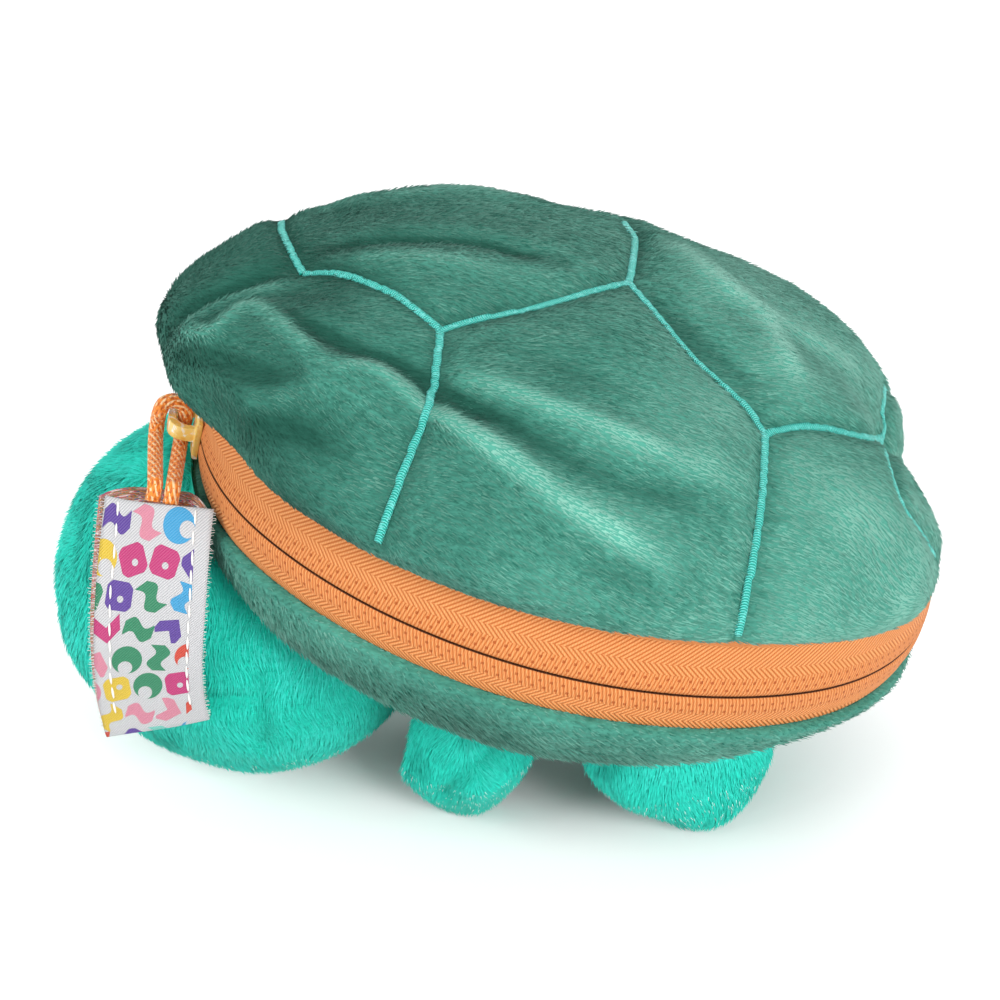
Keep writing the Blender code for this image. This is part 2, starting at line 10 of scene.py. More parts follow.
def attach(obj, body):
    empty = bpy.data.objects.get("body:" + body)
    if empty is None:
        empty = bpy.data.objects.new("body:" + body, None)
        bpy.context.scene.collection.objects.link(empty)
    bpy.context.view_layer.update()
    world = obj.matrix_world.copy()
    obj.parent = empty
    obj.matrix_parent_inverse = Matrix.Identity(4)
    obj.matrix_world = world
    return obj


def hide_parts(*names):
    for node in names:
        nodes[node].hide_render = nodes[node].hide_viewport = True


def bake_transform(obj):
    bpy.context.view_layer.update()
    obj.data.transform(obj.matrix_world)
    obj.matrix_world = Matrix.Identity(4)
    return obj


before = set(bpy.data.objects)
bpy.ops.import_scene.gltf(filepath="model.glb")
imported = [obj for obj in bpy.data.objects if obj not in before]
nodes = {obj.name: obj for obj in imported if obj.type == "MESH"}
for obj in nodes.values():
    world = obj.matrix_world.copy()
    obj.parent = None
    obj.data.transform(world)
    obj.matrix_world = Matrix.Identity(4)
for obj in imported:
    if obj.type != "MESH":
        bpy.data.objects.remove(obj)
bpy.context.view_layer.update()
scene = bpy.context.scene
mm = 0.001


# Camera, at the photograph's angle
camera = {"azimuth": 9.0, "elevation": 28.5, "distance": 0.5125, "lens": 86.4, "target": (0.0021, 0, 0.0675)}


def makeCamera():
    a, e = radians(camera["azimuth"]), radians(camera["elevation"])
    back = Vector((sin(a) * cos(e), -cos(a) * cos(e), sin(e)))
    data = bpy.data.cameras.new("camera")
    data.lens = camera["lens"]
    data.sensor_width = 36
    data.clip_start = 0.01
    item = bpy.data.objects.new("camera", data)
    item.location = Vector(camera["target"]) + back * camera["distance"]
    item.rotation_euler = back.to_track_quat("Z", "Y").to_euler()
    scene.collection.objects.link(item)
    scene.camera = item
    return item.location.copy(), Vector((cos(a), sin(a), 0)), Vector((-sin(a) * sin(e), cos(a) * sin(e), cos(e))), -back


eye, rightWay, upWay, forwardWay = makeCamera()


# The direction in which the camera sees a point of the photograph
def sightLine(x, y):
    f = camera["lens"] / 36 * 1000
    return (forwardWay * f + rightWay * (x - 500) + upWay * (500 - y)).normalized()


print("stage: camera")


# Small helpers for meshes and materials

def addPiece(name, bm, body, replaced=(), smooth=True, normals=True):
    if normals:
        bmesh.ops.recalc_face_normals(bm, faces=bm.faces[:])
    mesh = bpy.data.meshes.new(name)
    bm.to_mesh(mesh)
    bm.free()
    for polygon in mesh.polygons:
        polygon.use_smooth = smooth
    piece = bpy.data.objects.new(name, mesh)
    scene.collection.objects.link(piece)
    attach(piece, body)
    if replaced:
        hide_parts(*replaced)
    return piece


def applyModifiers(piece):
    graph = bpy.context.evaluated_depsgraph_get()
    graph.update()
    mesh = bpy.data.meshes.new_from_object(piece.evaluated_get(graph))
    piece.modifiers.clear()
    piece.data = mesh
    return piece


def coordinatesOf(mesh):
    flat = np.empty(len(mesh.vertices) * 3)
    mesh.vertices.foreach_get("co", flat)
    return flat.reshape(-1, 3)


def normalsOf(mesh):
    flat = np.empty(len(mesh.vertices) * 3)
    mesh.vertex_normals.foreach_get("vector", flat)
    return flat.reshape(-1, 3)


def moveAlongNormals(mesh, height):
    places = coordinatesOf(mesh) + normalsOf(mesh) * np.asarray(height)[:, None]
    mesh.vertices.foreach_set("co", places.ravel())
    mesh.update()


# Distance in metres from each point to the nearest of some polylines
def distanceTo(points, lines):
    best = np.full(len(points), 1.0)
    for line in lines:
        line = np.array(line, float)
        for a, b in zip(line[:-1], line[1:]):
            ab = b - a
            share = np.clip(((points - a) @ ab) / (ab @ ab), 0, 1)
            best = np.minimum(best, np.linalg.norm(points - a - share[:, None] * ab, axis=1))
    return best


def newMaterial(name, colour, roughness, **sockets):
    material = bpy.data.materials.new(name)
    material.use_nodes = True
    shader = material.node_tree.nodes["Principled BSDF"]
    shader.inputs["Base Color"].default_value = (*colour, 1)
    shader.inputs["Roughness"].default_value = roughness
    for key, value in sockets.items():
        label = {"sheen": "Sheen Weight", "sheenRoughness": "Sheen Roughness", "sheenTint": "Sheen Tint",
                 "coat": "Coat Weight", "coatRoughness": "Coat Roughness", "ior": "IOR",
                 "subsurface": "Subsurface Weight", "transmission": "Transmission Weight",
                 "specular": "Specular IOR Level"}[key]
        shader.inputs[label].default_value = value
    return material, material.node_tree, shader


def addNode(tree, kind, x=0, y=0, **values):
    node = tree.nodes.new(kind)
    node.location = (x, y)
    for key, value in values.items():
        setattr(node, key, value)
    return node


# A noise texture on Object coordinates, or on another vector
def noiseNode(tree, scale, detail=2.0, rough=0.5, vector=None, distortion=0.0):
    node = addNode(tree, "ShaderNodeTexNoise")
    node.inputs["Scale"].default_value = scale
    node.inputs["Detail"].default_value = detail
    node.inputs["Roughness"].default_value = rough
    node.inputs["Distortion"].default_value = distortion
    if vector is None:
        vector = addNode(tree, "ShaderNodeTexCoord").outputs["Object"]
    tree.links.new(vector, node.inputs["Vector"])
    return node


def setSocket(tree, socket, value):
    if hasattr(value, "is_linked"):
        tree.links.new(value, socket)
    elif isinstance(value, tuple) and socket.type == "RGBA" and len(value) == 3:
        socket.default_value = (*value, 1)
    else:
        socket.default_value = value


# An effect that several materials share, as a node group with named inputs and outputs
def makeGroup(name, inputs, outputs):
    kinds = {"colour": "NodeSocketColor", "number": "NodeSocketFloat", "vector": "NodeSocketVector"}
    tree = bpy.data.node_groups.new(name, "ShaderNodeTree")
    for label, (kind, value) in inputs.items():
        socket = tree.interface.new_socket(label, in_out="INPUT", socket_type=kinds[kind])
        socket.default_value = (*value, 1) if kind == "colour" else value
    for label, kind in outputs.items():
        tree.interface.new_socket(label, in_out="OUTPUT", socket_type=kinds[kind])
    return tree, addNode(tree, "NodeGroupInput"), addNode(tree, "NodeGroupOutput")


def placeGroup(tree, group, **values):
    node = addNode(tree, "ShaderNodeGroup", node_tree=group)
    for label, value in values.items():
        setSocket(tree, node.inputs[label], value)
    return node.outputs


def mathNode(tree, operation, first, second=None):
    node = addNode(tree, "ShaderNodeMath", operation=operation)
    for socket, value in zip(node.inputs, (first, second)):
        if value is None:
            continue
        if isinstance(value, (int, float)):
            socket.default_value = value
        else:
            tree.links.new(value, socket)
    return node.outputs[0]


def mixColour(tree, factor, first, second, blend="MIX"):
    node = addNode(tree, "ShaderNodeMix", data_type="RGBA", blend_type=blend)
    for index, value in ((0, factor), (6, first), (7, second)):
        socket = node.inputs[index]
        if isinstance(value, (int, float)):
            socket.default_value = value
        elif isinstance(value, tuple):
            socket.default_value = (*value, 1) if len(value) == 3 else value
        else:
            tree.links.new(value, socket)
    return node.outputs[2]


def mixValue(tree, factor, first, second):
    node = addNode(tree, "ShaderNodeMix")
    for index, value in ((0, factor), (2, first), (3, second)):
        setSocket(tree, node.inputs[index], value)
    return node.outputs[0]


def rampNode(tree, value, stops):
    node = addNode(tree, "ShaderNodeValToRGB")
    ramp = node.color_ramp
    while len(ramp.elements) < len(stops):
        ramp.elements.new(0.5)
    for element, (place, colour) in zip(ramp.elements, stops):
        element.position = place
        element.color = (*colour, 1) if len(colour) == 3 else colour
    tree.links.new(value, node.inputs[0])
    return node.outputs[0]


def bumpNode(tree, shader, height, strength, distance, under=None):
    node = addNode(tree, "ShaderNodeBump")
    node.inputs["Strength"].default_value = strength
    node.inputs["Distance"].default_value = distance
    tree.links.new(height, node.inputs["Height"])
    if under is not None:
        tree.links.new(under, node.inputs["Normal"])
    tree.links.new(node.outputs[0], shader.inputs["Normal"])
    return node.outputs[0]


# Two colours mottled by a noise in Object coordinates, stretched along an axis if need be
def mottleGroup():
    tree, given, out = makeGroup(
        "mottle", {"Dark": ("colour", (0, 0, 0)), "Light": ("colour", (1, 1, 1)), "Scale": ("number", 500),
                   "Detail": ("number", 3), "Stretch": ("vector", (1, 1, 1))},
        {"Colour": "colour", "Height": "number"})
    place = addNode(tree, "ShaderNodeVectorMath", operation="MULTIPLY")
    tree.links.new(addNode(tree, "ShaderNodeTexCoord").outputs["Object"], place.inputs[0])
    tree.links.new(given.outputs["Stretch"], place.inputs[1])
    patch = noiseNode(tree, 500, vector=place.outputs[0])
    tree.links.new(given.outputs["Scale"], patch.inputs["Scale"])
    tree.links.new(given.outputs["Detail"], patch.inputs["Detail"])
    tone = mixColour(tree, patch.outputs[0], given.outputs["Dark"], given.outputs["Light"])
    tree.links.new(tone, out.inputs["Colour"])
    tree.links.new(patch.outputs[0], out.inputs["Height"])
    return tree


# Plush painted paler on the crest of a fold and deeper in its valley: painted highlight and painted shade, mixed with
# tone that differs at random
def toneAndPaintedLightGroup():
    tree, given, out = makeGroup(
        "toneAndPaintedLightMix", {"Colour": ("colour", (1, 1, 1)), "Pale": ("colour", (1, 1, 1)), "Deep": ("colour", (0, 0, 0)),
                "Amount": ("number", 1)}, {"Colour": "colour"})
    toneAndPaintedLight = addNode(tree, "ShaderNodeAttribute", attribute_name="toneAndPaintedLight").outputs["Fac"]
    cloud = mathNode(tree, "ADD", noiseNode(tree, 130, 3).outputs[0], 0.5)
    over = mathNode(tree, "MULTIPLY", mathNode(tree, "MULTIPLY", toneAndPaintedLight, cloud), given.outputs["Amount"])
    under = mathNode(tree, "MULTIPLY", mathNode(tree, "MULTIPLY", toneAndPaintedLight, -1.0), given.outputs["Amount"])
    tone = mixColour(tree, mathNode(tree, "MAXIMUM", over, 0.0), given.outputs["Colour"], given.outputs["Pale"])
    tone = mixColour(tree, mathNode(tree, "MAXIMUM", under, 0.0), tone, given.outputs["Deep"])
    tree.links.new(tone, out.inputs["Colour"])
    return tree


# Slanted ribs crossed by finer threads, from a length along and a length across
def twillGroup():
    tree, given, out = makeGroup(
        "twill", {"Along": ("number", 0), "Across": ("number", 0), "Pitch": ("number", 0.01),
                  "Slant": ("number", 1), "Thread": ("number", 0.005), "Share": ("number", 0.3)},
        {"Height": "number"})
    lean = mathNode(tree, "MULTIPLY", given.outputs["Across"], given.outputs["Slant"])
    run = mathNode(tree, "DIVIDE", mathNode(tree, "ADD", given.outputs["Along"], lean), given.outputs["Pitch"])
    rib = mathNode(tree, "ABSOLUTE", mathNode(tree, "SINE", mathNode(tree, "MULTIPLY", run, pi)))
    step = mathNode(tree, "DIVIDE", given.outputs["Along"], given.outputs["Thread"])
    thread = mathNode(tree, "ABSOLUTE", mathNode(tree, "SINE", mathNode(tree, "MULTIPLY", step, pi)))
    broken = mathNode(tree, "MULTIPLY", mathNode(tree, "SUBTRACT", thread, 1.0), given.outputs["Share"])
    tree.links.new(mathNode(tree, "MULTIPLY", rib, mathNode(tree, "ADD", broken, 1.0)), out.inputs["Height"])
    return tree


mottle, toneAndPaintedLightMix, twill = mottleGroup(), toneAndPaintedLightGroup(), twillGroup()


def mottledMaterial(name, dark, light, roughness, scale, bump, **sockets):
    material, tree, shader = newMaterial(name, dark, roughness, **sockets)
    made = placeGroup(tree, mottle, Dark=dark, Light=light, Scale=scale)
    tree.links.new(made["Colour"], shader.inputs["Base Color"])
    bumpNode(tree, shader, made["Height"], 0.4, bump)
    return material


# The pull cord, along the route that the part's source gives it
cordRoute = [
    (-0.05938, -0.03616, 0.08071), (-0.05909, -0.0347, 0.08331), (-0.05949, -0.03259, 0.08348),
    (-0.06008, -0.02962, 0.08354), (-0.06079, -0.02615, 0.08354), (-0.06152, -0.02253, 0.08354),
    (-0.06221, -0.01909, 0.0836), (-0.06275, -0.01618, 0.08379), (-0.06308, -0.01416, 0.08416),
    (-0.06261, -0.01286, 0.08701), (-0.06169, -0.01416, 0.09), (-0.06199, -0.01433, 0.09199),
    (-0.06359, -0.01473, 0.09317), (-0.06555, -0.01514, 0.09284), (-0.06672, -0.01531, 0.09119),
    (-0.06781, -0.01415, 0.0883), (-0.06811, -0.01531, 0.08536), (-0.06758, -0.01753, 0.0848),
    (-0.0667, -0.02077, 0.08442), (-0.06564, -0.02453, 0.08413), (-0.06456, -0.02831, 0.0839),
    (-0.06363, -0.03161, 0.08364), (-0.06302, -0.03394, 0.08331), (-0.06331, -0.0354, 0.08071)]
# dark is painted shade in the braid's grooves
pullCord = {"diameter": 0.003, "length": 0.0676, "sides": 24, "strands": 8, "pitch": 0.0052,
            "orange": (0.93, 0.27, 0.022), "fleck": (1.0, 0.76, 0.44), "dark": (0.72, 0.14, 0.010)}


# A tube of rings along a path, with the length along it and the turn round it as its own map
def tubeAlong(path, radiusAt, sides):
    bm = bmesh.new()
    layer = bm.loops.layers.uv.new("weave")
    path = [Vector(p) for p in path]
    along = [0.0]
    for a, b in zip(path, path[1:]):
        along.append(along[-1] + (b - a).length)
    tangent = (path[1] - path[0]).normalized()
    side = tangent.orthogonal().normalized()
    rings = []
    for i, point in enumerate(path):
        ahead = path[min(i + 1, len(path) - 1)] - path[max(i - 1, 0)]
        tangent = ahead.normalized()
        side = (side - tangent * side.dot(tangent)).normalized()
        other = tangent.cross(side)
        ring = []
        for j in range(sides):
            turn = 2 * pi * j / sides
            radius = radiusAt(along[i], turn)
            ring.append(bm.verts.new(point + (side * cos(turn) + other * sin(turn)) * radius))
        rings.append(ring)
    for i in range(len(rings) - 1):
        for j in range(sides):
            k = (j + 1) % sides
            face = bm.faces.new((rings[i][j], rings[i][k], rings[i + 1][k], rings[i + 1][j]))
            corners = ((i, j), (i, j + 1), (i + 1, j + 1), (i + 1, j))
            for loop, (ring, turn) in zip(face.loops, corners):
                loop[layer].uv = (along[ring], turn / sides)
    for ring in (rings[0], rings[-1]):
        cap = bm.faces.new(ring)
        for loop in cap.loops:
            loop[layer].uv = (0, 0)
    return bm, along[-1]


# Points of a smooth curve through given ones, count steps in each span
def smoothPath(points, count):
    points = [Vector(p) for p in points]
    made = [points[0]]
    for i in range(len(points) - 1):
        p0, p1 = points[max(i - 1, 0)], points[i]
        p2, p3 = points[i + 1], points[min(i + 2, len(points) - 1)]
        for k in range(1, count + 1):
            t = k / count
            made.append(0.5 * (2 * p1 + (p2 - p0) * t + (2 * p0 - 5 * p1 + 4 * p2 - p3) * t * t
                               + (3 * p1 - p0 - 3 * p2 + p3) * t ** 3))
    return made


def makeCord():
    path = smoothPath(cordRoute, 12)
    radius, half = pullCord["diameter"] / 2, pullCord["strands"] / 2

    def radiusAt(along, turn):
        one = sin(half * turn + 2 * pi * along / pullCord["pitch"])
        two = sin(half * turn - 2 * pi * along / pullCord["pitch"])
        return radius * (0.94 + 0.12 * max(abs(one), abs(two)))

    bm, length = tubeAlong(path, radiusAt, pullCord["sides"])
    print("cord length", round(length, 4))
    piece = addPiece("cordLoop", bm, "pull", ["pull_cord"])
    material, tree, shader = newMaterial("braidedCord", pullCord["orange"], 0.62, sheen=0.25)
    spot = addNode(tree, "ShaderNodeUVMap", uv_map="weave").outputs[0]
    split = addNode(tree, "ShaderNodeSeparateXYZ")
    tree.links.new(spot, split.inputs[0])
    turn = mathNode(tree, "MULTIPLY", split.outputs[1], half * 2 * pi)
    run = mathNode(tree, "MULTIPLY", split.outputs[0], 2 * pi / pullCord["pitch"])
    one = mathNode(tree, "ABSOLUTE", mathNode(tree, "SINE", mathNode(tree, "ADD", turn, run)))
    two = mathNode(tree, "ABSOLUTE", mathNode(tree, "SINE", mathNode(tree, "SUBTRACT", turn, run)))
    top = mathNode(tree, "MAXIMUM", one, two)
    yarn = mathNode(tree, "SINE", mathNode(tree, "ADD", turn, mathNode(tree, "MULTIPLY", run, 7.0)))
    height = mathNode(tree, "ADD", top, mathNode(tree, "MULTIPLY", yarn, 0.15))
    # painted shade: darker in the grooves between the braid's strands
    paintedShade = rampNode(tree, top, [(0.35, pullCord["dark"]), (0.75, pullCord["orange"])])
    patch = noiseNode(tree, 1100, 1).outputs[0]
    fleck = mathNode(tree, "MULTIPLY", mathNode(tree, "GREATER_THAN", one, 0.80), mathNode(tree, "GREATER_THAN", patch, 0.46))
    tone = mixColour(tree, mathNode(tree, "MULTIPLY", fleck, 0.85), paintedShade, pullCord["fleck"])
    tree.links.new(tone, shader.inputs["Base Color"])
    bumpNode(tree, shader, height, 0.8, 0.0004)
    piece.data.materials.append(material)
    return piece


cordPiece = makeCord()
print("stage: cord")


# The rim and the two halves of the shell, in the same sizes as the part's source
shell = {
    "halfLength": 79 * mm, "halfWidth": 68 * mm, "endShare": 0.912, "pitch": 13.4,
    "middle": (16.613 * mm, 0, 69.8 * mm), "domeRise": 50 * mm, "dishDepth": 40 * mm,
    "frontCurve": 2.05, "rearCurve": 1.9, "dishCurve": 1.95, "dishSlim": (0.75, 0.4, 34, 27), "puffFront": 8 * mm, "puffRear": -3.5 * mm,
    "puffSide": 3.5 * mm, "shoulder": 19 * mm, "bandLean": 1.2 * mm, "dishLean": 2 * mm,
    "upperShows": 11 * mm, "lowerShows": 9 * mm, "cover": 1.8 * mm, "gap": 0.3 * mm,
    "edgeShare": 0.16, "shoulderShare": 0.32, "swell": 12.5 * mm, "slim": ((0.85, 138, 11.5), (-0.32, 182, 15)), "slimTop": 0.36,
    "swells": ((-9, -1, 15), (30, 0.24, 13), (84, 0.0659, 26), (148, 0.24, 13), (200, -0.12, 16),
               (245, 0.16, 18), (298, 0.16, 10))}
relief = {
    "seamDepth": 1.6 * mm, "scutePuff": 1.1 * mm, "reach": 9 * mm, "creaseDepth": 2.8 * mm, "start": 0.2,
    "full": 0.4, "crease": ((-0.80, 0.29), (-1.06, 0.37)),
    "lines": (((-0.79, 0.26), (-0.41, 0.50)), ((-0.41, 0.50), (0, 0.02)), ((0, 0.02), (0.415, 0.52)),
              ((0.415, 0.52), (0.72, 0.20)), ((-0.41, 0.50), (-0.40, 0.98)), ((0.415, 0.52), (0.465, 0.95)),
              ((0.72, 0.20), (0.93, 0.40)), ((-0.79, 0.26), (-0.85, -0.50)), ((0, 0.02), (-0.04, -0.62)),
              ((0.72, 0.20), (0.76, -0.50)), ((-0.85, -0.50), (-0.43, -0.78)),
              ((-0.43, -0.78), (-0.04, -0.62)), ((-0.04, -0.62), (0.45, -0.76)),
              ((0.45, -0.76), (0.76, -0.50)))}
endRadius = shell["halfWidth"] * shell["endShare"]
endCentre = shell["halfLength"] - endRadius
sideStep = shell["halfWidth"] - endRadius
sideDrop = (endCentre ** 2 - sideStep ** 2) / (2 * sideStep)
sideRadius = shell["halfWidth"] + sideDrop
endSpan = atan2(sideDrop, endCentre)
rimPitch = radians(shell["pitch"])
rimAlong = Vector((cos(rimPitch), 0, -sin(rimPitch)))
rimNear = Vector((0, -1, 0))
rimUp = Vector((sin(rimPitch), 0, cos(rimPitch)))
rimMiddle = Vector(shell["middle"])
coverOut = shell["gap"] + shell["cover"]


def rimPlace(u, v, w):
    return rimMiddle + rimAlong * u + rimNear * v + rimUp * w


# A point of the rim oval moved outward; the angle is that of its normal
def rimPoint(angle, offset):
    c, s = cos(angle), sin(angle)
    if abs(atan2(s, abs(c))) <= endSpan:
        side = 1 if c > 0 else -1
        return side * endCentre + (endRadius + offset) * c, (endRadius + offset) * s
    side = 1 if s > 0 else -1
    return (sideRadius + offset) * c, -side * sideDrop + (sideRadius + offset) * s


def puffAt(angle):
    c = cos(angle)
    puff = shell["puffSide"] * (1 - c * c) + (shell["puffFront"] if c < 0 else shell["puffRear"]) * c * c
    for place, amount, spread in shell["swells"]:
        away = (degrees(angle) - place + 180) % 360 - 180
        puff += shell["swell"] * amount * exp(-(away / spread) ** 2 / 2)
    return puff


# The share of the puff that is taken in beside the slider, which the photograph shows clear of the plush
def slimAt(angle, flat=1.0):
    left = min(max(1 - (1 - flat) / shell["slimTop"], 0), 1)
    full = sum(amount * exp(-((degrees(angle) - place) / spread) ** 2) for amount, place, spread in shell["slim"])
    return full * left * left * (3 - 2 * left)


# How far a point is from a line, both seen from above the rim
def awayFrom(u, v, line):
    (startU, startV), (endU, endV) = [(a * shell["halfLength"], b * shell["halfWidth"]) for a, b in line]
    alongU, alongV = endU - startU, endV - startV
    share = ((u - startU) * alongU + (v - startV) * alongV) / (alongU ** 2 + alongV ** 2)
    share = min(max(share, 0), 1)
    return hypot(u - startU - alongU * share, v - startV - alongV * share)


# The main relief: plates puffed between sunken seams, and the crease over the head
def foldAt(u, v, share):
    full = min(max((share - relief["start"]) / (relief["full"] - relief["start"]), 0), 1)
    if full == 0:
        return 0.0
    near = exp(-(min(awayFrom(u, v, line) for line in relief["lines"]) / relief["reach"]) ** 2)
    crease = exp(-(awayFrom(u, v, relief["crease"]) / relief["reach"]) ** 2)
    return full * (relief["scutePuff"] * (1 - near) - relief["seamDepth"] * near - relief["creaseDepth"] * crease)


def domePlace(angle, offset, share):
    edge, shoulder, shows = shell["edgeShare"], shell["shoulderShare"], shell["upperShows"]
    if share <= edge:
        climb = share / edge
        return rimPlace(*rimPoint(angle, offset - shell["bandLean"] * climb * climb), shows * climb)
    if share <= shoulder:
        climb = (share - edge) / (shoulder - edge)
        puff = puffAt(angle) * (1 - slimAt(angle))
        out = (puff + shell["bandLean"]) * sin(climb * pi / 2) - shell["bandLean"]
        offset += foldAt(*rimPoint(angle, out), share)
        return rimPlace(*rimPoint(angle, offset + out), shows + (shell["shoulder"] - shows) * climb)
    turn = (share - shoulder) / (1 - shoulder) * pi / 2
    curve = shell["frontCurve"] + (shell["rearCurve"] - shell["frontCurve"]) * (1 + cos(angle)) / 2
    flat = cos(turn) ** (2 / curve) if share < 1 else 0
    rise = sin(turn) ** (2 / curve)
    puff = puffAt(angle) * (1 - slimAt(angle, 1 - rise))
    u, v = rimPoint(angle, puff)
    offset += foldAt(u * flat, v * flat, share)
    u, v = rimPoint(angle, offset + puff)
    return rimPlace(u * flat, v * flat, shell["shoulder"] + (shell["domeRise"] + offset - shell["shoulder"]) * rise)


def dishPlace(angle, offset, share):
    edge, shows = shell["edgeShare"], shell["lowerShows"]
    if share <= edge:
        climb = share / edge
        return rimPlace(*rimPoint(angle, offset - shell["dishLean"] * climb ** 3), -shows * climb)
    turn = (share - edge) / (1 - edge) * pi / 2
    amount, shallow, place, spread = shell["dishSlim"]
    near = exp(-(((degrees(angle) - place + 180) % 360 - 180) / spread) ** 2)
    flat = cos(turn) ** (2 / (shell["dishCurve"] - amount * near)) if share < 1 else 0
    rise = sin(turn) ** (2 / shell["dishCurve"]) * (1 - shallow * near * cos(turn))
    u, v = rimPoint(angle, offset - shell["dishLean"])
    return rimPlace(u * flat, v * flat, -shows - (shell["dishDepth"] + offset - shows) * rise)


# A closed cap: rings of a circle extruded upward one after the other, drawn to their places, and closed at the pole
def capMesh(placeAt, shares, around):
    bm = bmesh.new()
    made = bmesh.ops.create_circle(bm, cap_ends=False, radius=1, segments=around)
    ring = sorted(made["verts"], key=lambda v: atan2(v.co.y, v.co.x) % (2 * pi))
    turns = [atan2(v.co.y, v.co.x) % (2 * pi) for v in ring]
    for vert, turn in zip(ring, turns):
        vert.co = placeAt(turn, shares[0])
    edges = bm.edges[:]
    for share in shares[1:]:
        out = bmesh.ops.extrude_edge_only(bm, edges=edges)["geom"]
        new = [e for e in out if isinstance(e, bmesh.types.BMVert)]
        edges = [e for e in out if isinstance(e, bmesh.types.BMEdge)]
        linked = {}
        fresh = set(new)
        for vert in new:
            for edge in vert.link_edges:
                other = edge.other_vert(vert)
                if other not in fresh:
                    linked[other] = vert
        ring = [linked[v] for v in ring]
        for vert, turn in zip(ring, turns):
            vert.co = placeAt(turn, share)
    bmesh.ops.pointmerge(bm, verts=ring, merge_co=placeAt(0, 1))
    return bm


# A closed shell from an outer and an inner cap, joined round the edge
def shellMesh(outerPlace, innerPlace, outerShares, innerShares, around):
    bm = capMesh(outerPlace, outerShares, around)
    inner = capMesh(innerPlace, innerShares, around)
    spare = bpy.data.meshes.new("spare")
    inner.to_mesh(spare)
    inner.free()
    bm.from_mesh(spare)
    bpy.data.meshes.remove(spare)
    edges = [e for e in bm.edges if len(e.link_faces) == 1]
    bmesh.ops.bridge_loops(bm, edges=edges)
    return bm


def steps(start, end, count):
    return [start + (end - start) * i / count for i in range(count + 1)]


# Pile: short closed spikes spread over a piece, lying the way of the nap, in one mesh of its own
def tuftObject():
    bm = bmesh.new()
    bmesh.ops.create_cone(bm, cap_ends=True, segments=3, radius1=0.5, radius2=0, depth=1)
    bmesh.ops.remove_doubles(bm, verts=bm.verts[:], dist=1e-5)
    bmesh.ops.translate(bm, vec=(0, 0, 0.5), verts=bm.verts[:])
    mesh = bpy.data.meshes.new("tuft")
    bm.to_mesh(mesh)
    bm.free()
    rise = mesh.attributes.new("rise", "FLOAT", "POINT")
    rise.data.foreach_set("value", [1.0 if v.co.z > 0.5 else 0.0 for v in mesh.vertices])
    for polygon in mesh.polygons:
        polygon.use_smooth = True
    return bpy.data.objects.new("tuft", mesh)


tuft = tuftObject()


def pileGroup(density, width, jitter, seed):
    tree = bpy.data.node_groups.new("pile", "GeometryNodeTree")
    tree.interface.new_socket("Geometry", in_out="INPUT", socket_type="NodeSocketGeometry")
    tree.interface.new_socket("Geometry", in_out="OUTPUT", socket_type="NodeSocketGeometry")
    start, end = addNode(tree, "NodeGroupInput"), addNode(tree, "NodeGroupOutput")

    def named(kind, label):
        node = addNode(tree, "GeometryNodeInputNamedAttribute", data_type=kind)
        node.inputs["Name"].default_value = label
        return node.outputs[0]

    def chance(step, low, high):
        node = addNode(tree, "FunctionNodeRandomValue", data_type="FLOAT")
        node.inputs[2].default_value = low
        node.inputs[3].default_value = high
        node.inputs["Seed"].default_value = seed + step
        return node.outputs[1]

    def store(geometry, label, kind, value):
        node = addNode(tree, "GeometryNodeStoreNamedAttribute", data_type=kind, domain="INSTANCE")
        node.inputs["Name"].default_value = label
        tree.links.new(geometry, node.inputs["Geometry"])
        tree.links.new(value, node.inputs["Value"])
        return node.outputs[0]

    spread = addNode(tree, "GeometryNodeDistributePointsOnFaces", distribute_method="RANDOM")
    spread.inputs["Seed"].default_value = seed
    tree.links.new(mathNode(tree, "MULTIPLY", named("FLOAT", "pileShare"), density), spread.inputs["Density"])
    tree.links.new(start.outputs[0], spread.inputs["Mesh"])
    wander = addNode(tree, "FunctionNodeRandomValue", data_type="FLOAT_VECTOR")
    wander.inputs[0].default_value = (-jitter, -jitter, -jitter)
    wander.inputs[1].default_value = (jitter, jitter, jitter)
    wander.inputs["Seed"].default_value = seed + 1
    lean = addNode(tree, "ShaderNodeVectorMath", operation="ADD")
    tree.links.new(named("FLOAT_VECTOR", "pileWay"), lean.inputs[0])
    tree.links.new(wander.outputs[0], lean.inputs[1])
    turn = addNode(tree, "FunctionNodeAlignRotationToVector", axis="Z")
    tree.links.new(lean.outputs[0], turn.inputs["Vector"])
    size = chance(2, 0.65, 1.3)
    wide = mathNode(tree, "MULTIPLY", size, width)
    scale = addNode(tree, "ShaderNodeCombineXYZ")
    tree.links.new(wide, scale.inputs[0])
    tree.links.new(wide, scale.inputs[1])
    tree.links.new(mathNode(tree, "MULTIPLY", size, named("FLOAT", "pileLong")), scale.inputs[2])
    shape = addNode(tree, "GeometryNodeObjectInfo")
    shape.inputs["Object"].default_value = tuft
    place = addNode(tree, "GeometryNodeInstanceOnPoints")
    tree.links.new(spread.outputs["Points"], place.inputs["Points"])
    tree.links.new(shape.outputs["Geometry"], place.inputs["Instance"])
    tree.links.new(turn.outputs[0], place.inputs["Rotation"])
    tree.links.new(scale.outputs[0], place.inputs["Scale"])
    made = store(place.outputs[0], "root", "FLOAT_VECTOR", addNode(tree, "GeometryNodeInputPosition").outputs[0])
    made = store(made, "tint", "FLOAT", chance(3, 0, 1))
    real = addNode(tree, "GeometryNodeRealizeInstances")
    tree.links.new(made, real.inputs[0])
    tree.links.new(real.outputs[0], end.inputs[0])
    return tree


def newAttribute(mesh, name, kind, values):
    field = "vector" if kind == "FLOAT_VECTOR" else "value"
    mesh.attributes.new(name, kind, "POINT").data.foreach_set(field, np.asarray(values, np.float32).ravel())


def readAttribute(mesh, name, width):
    flat = np.empty(len(mesh.vertices) * width, np.float32)
    mesh.attributes[name].data.foreach_get("vector" if width == 3 else "value", flat)
    return flat.reshape(-1, width) if width > 1 else flat


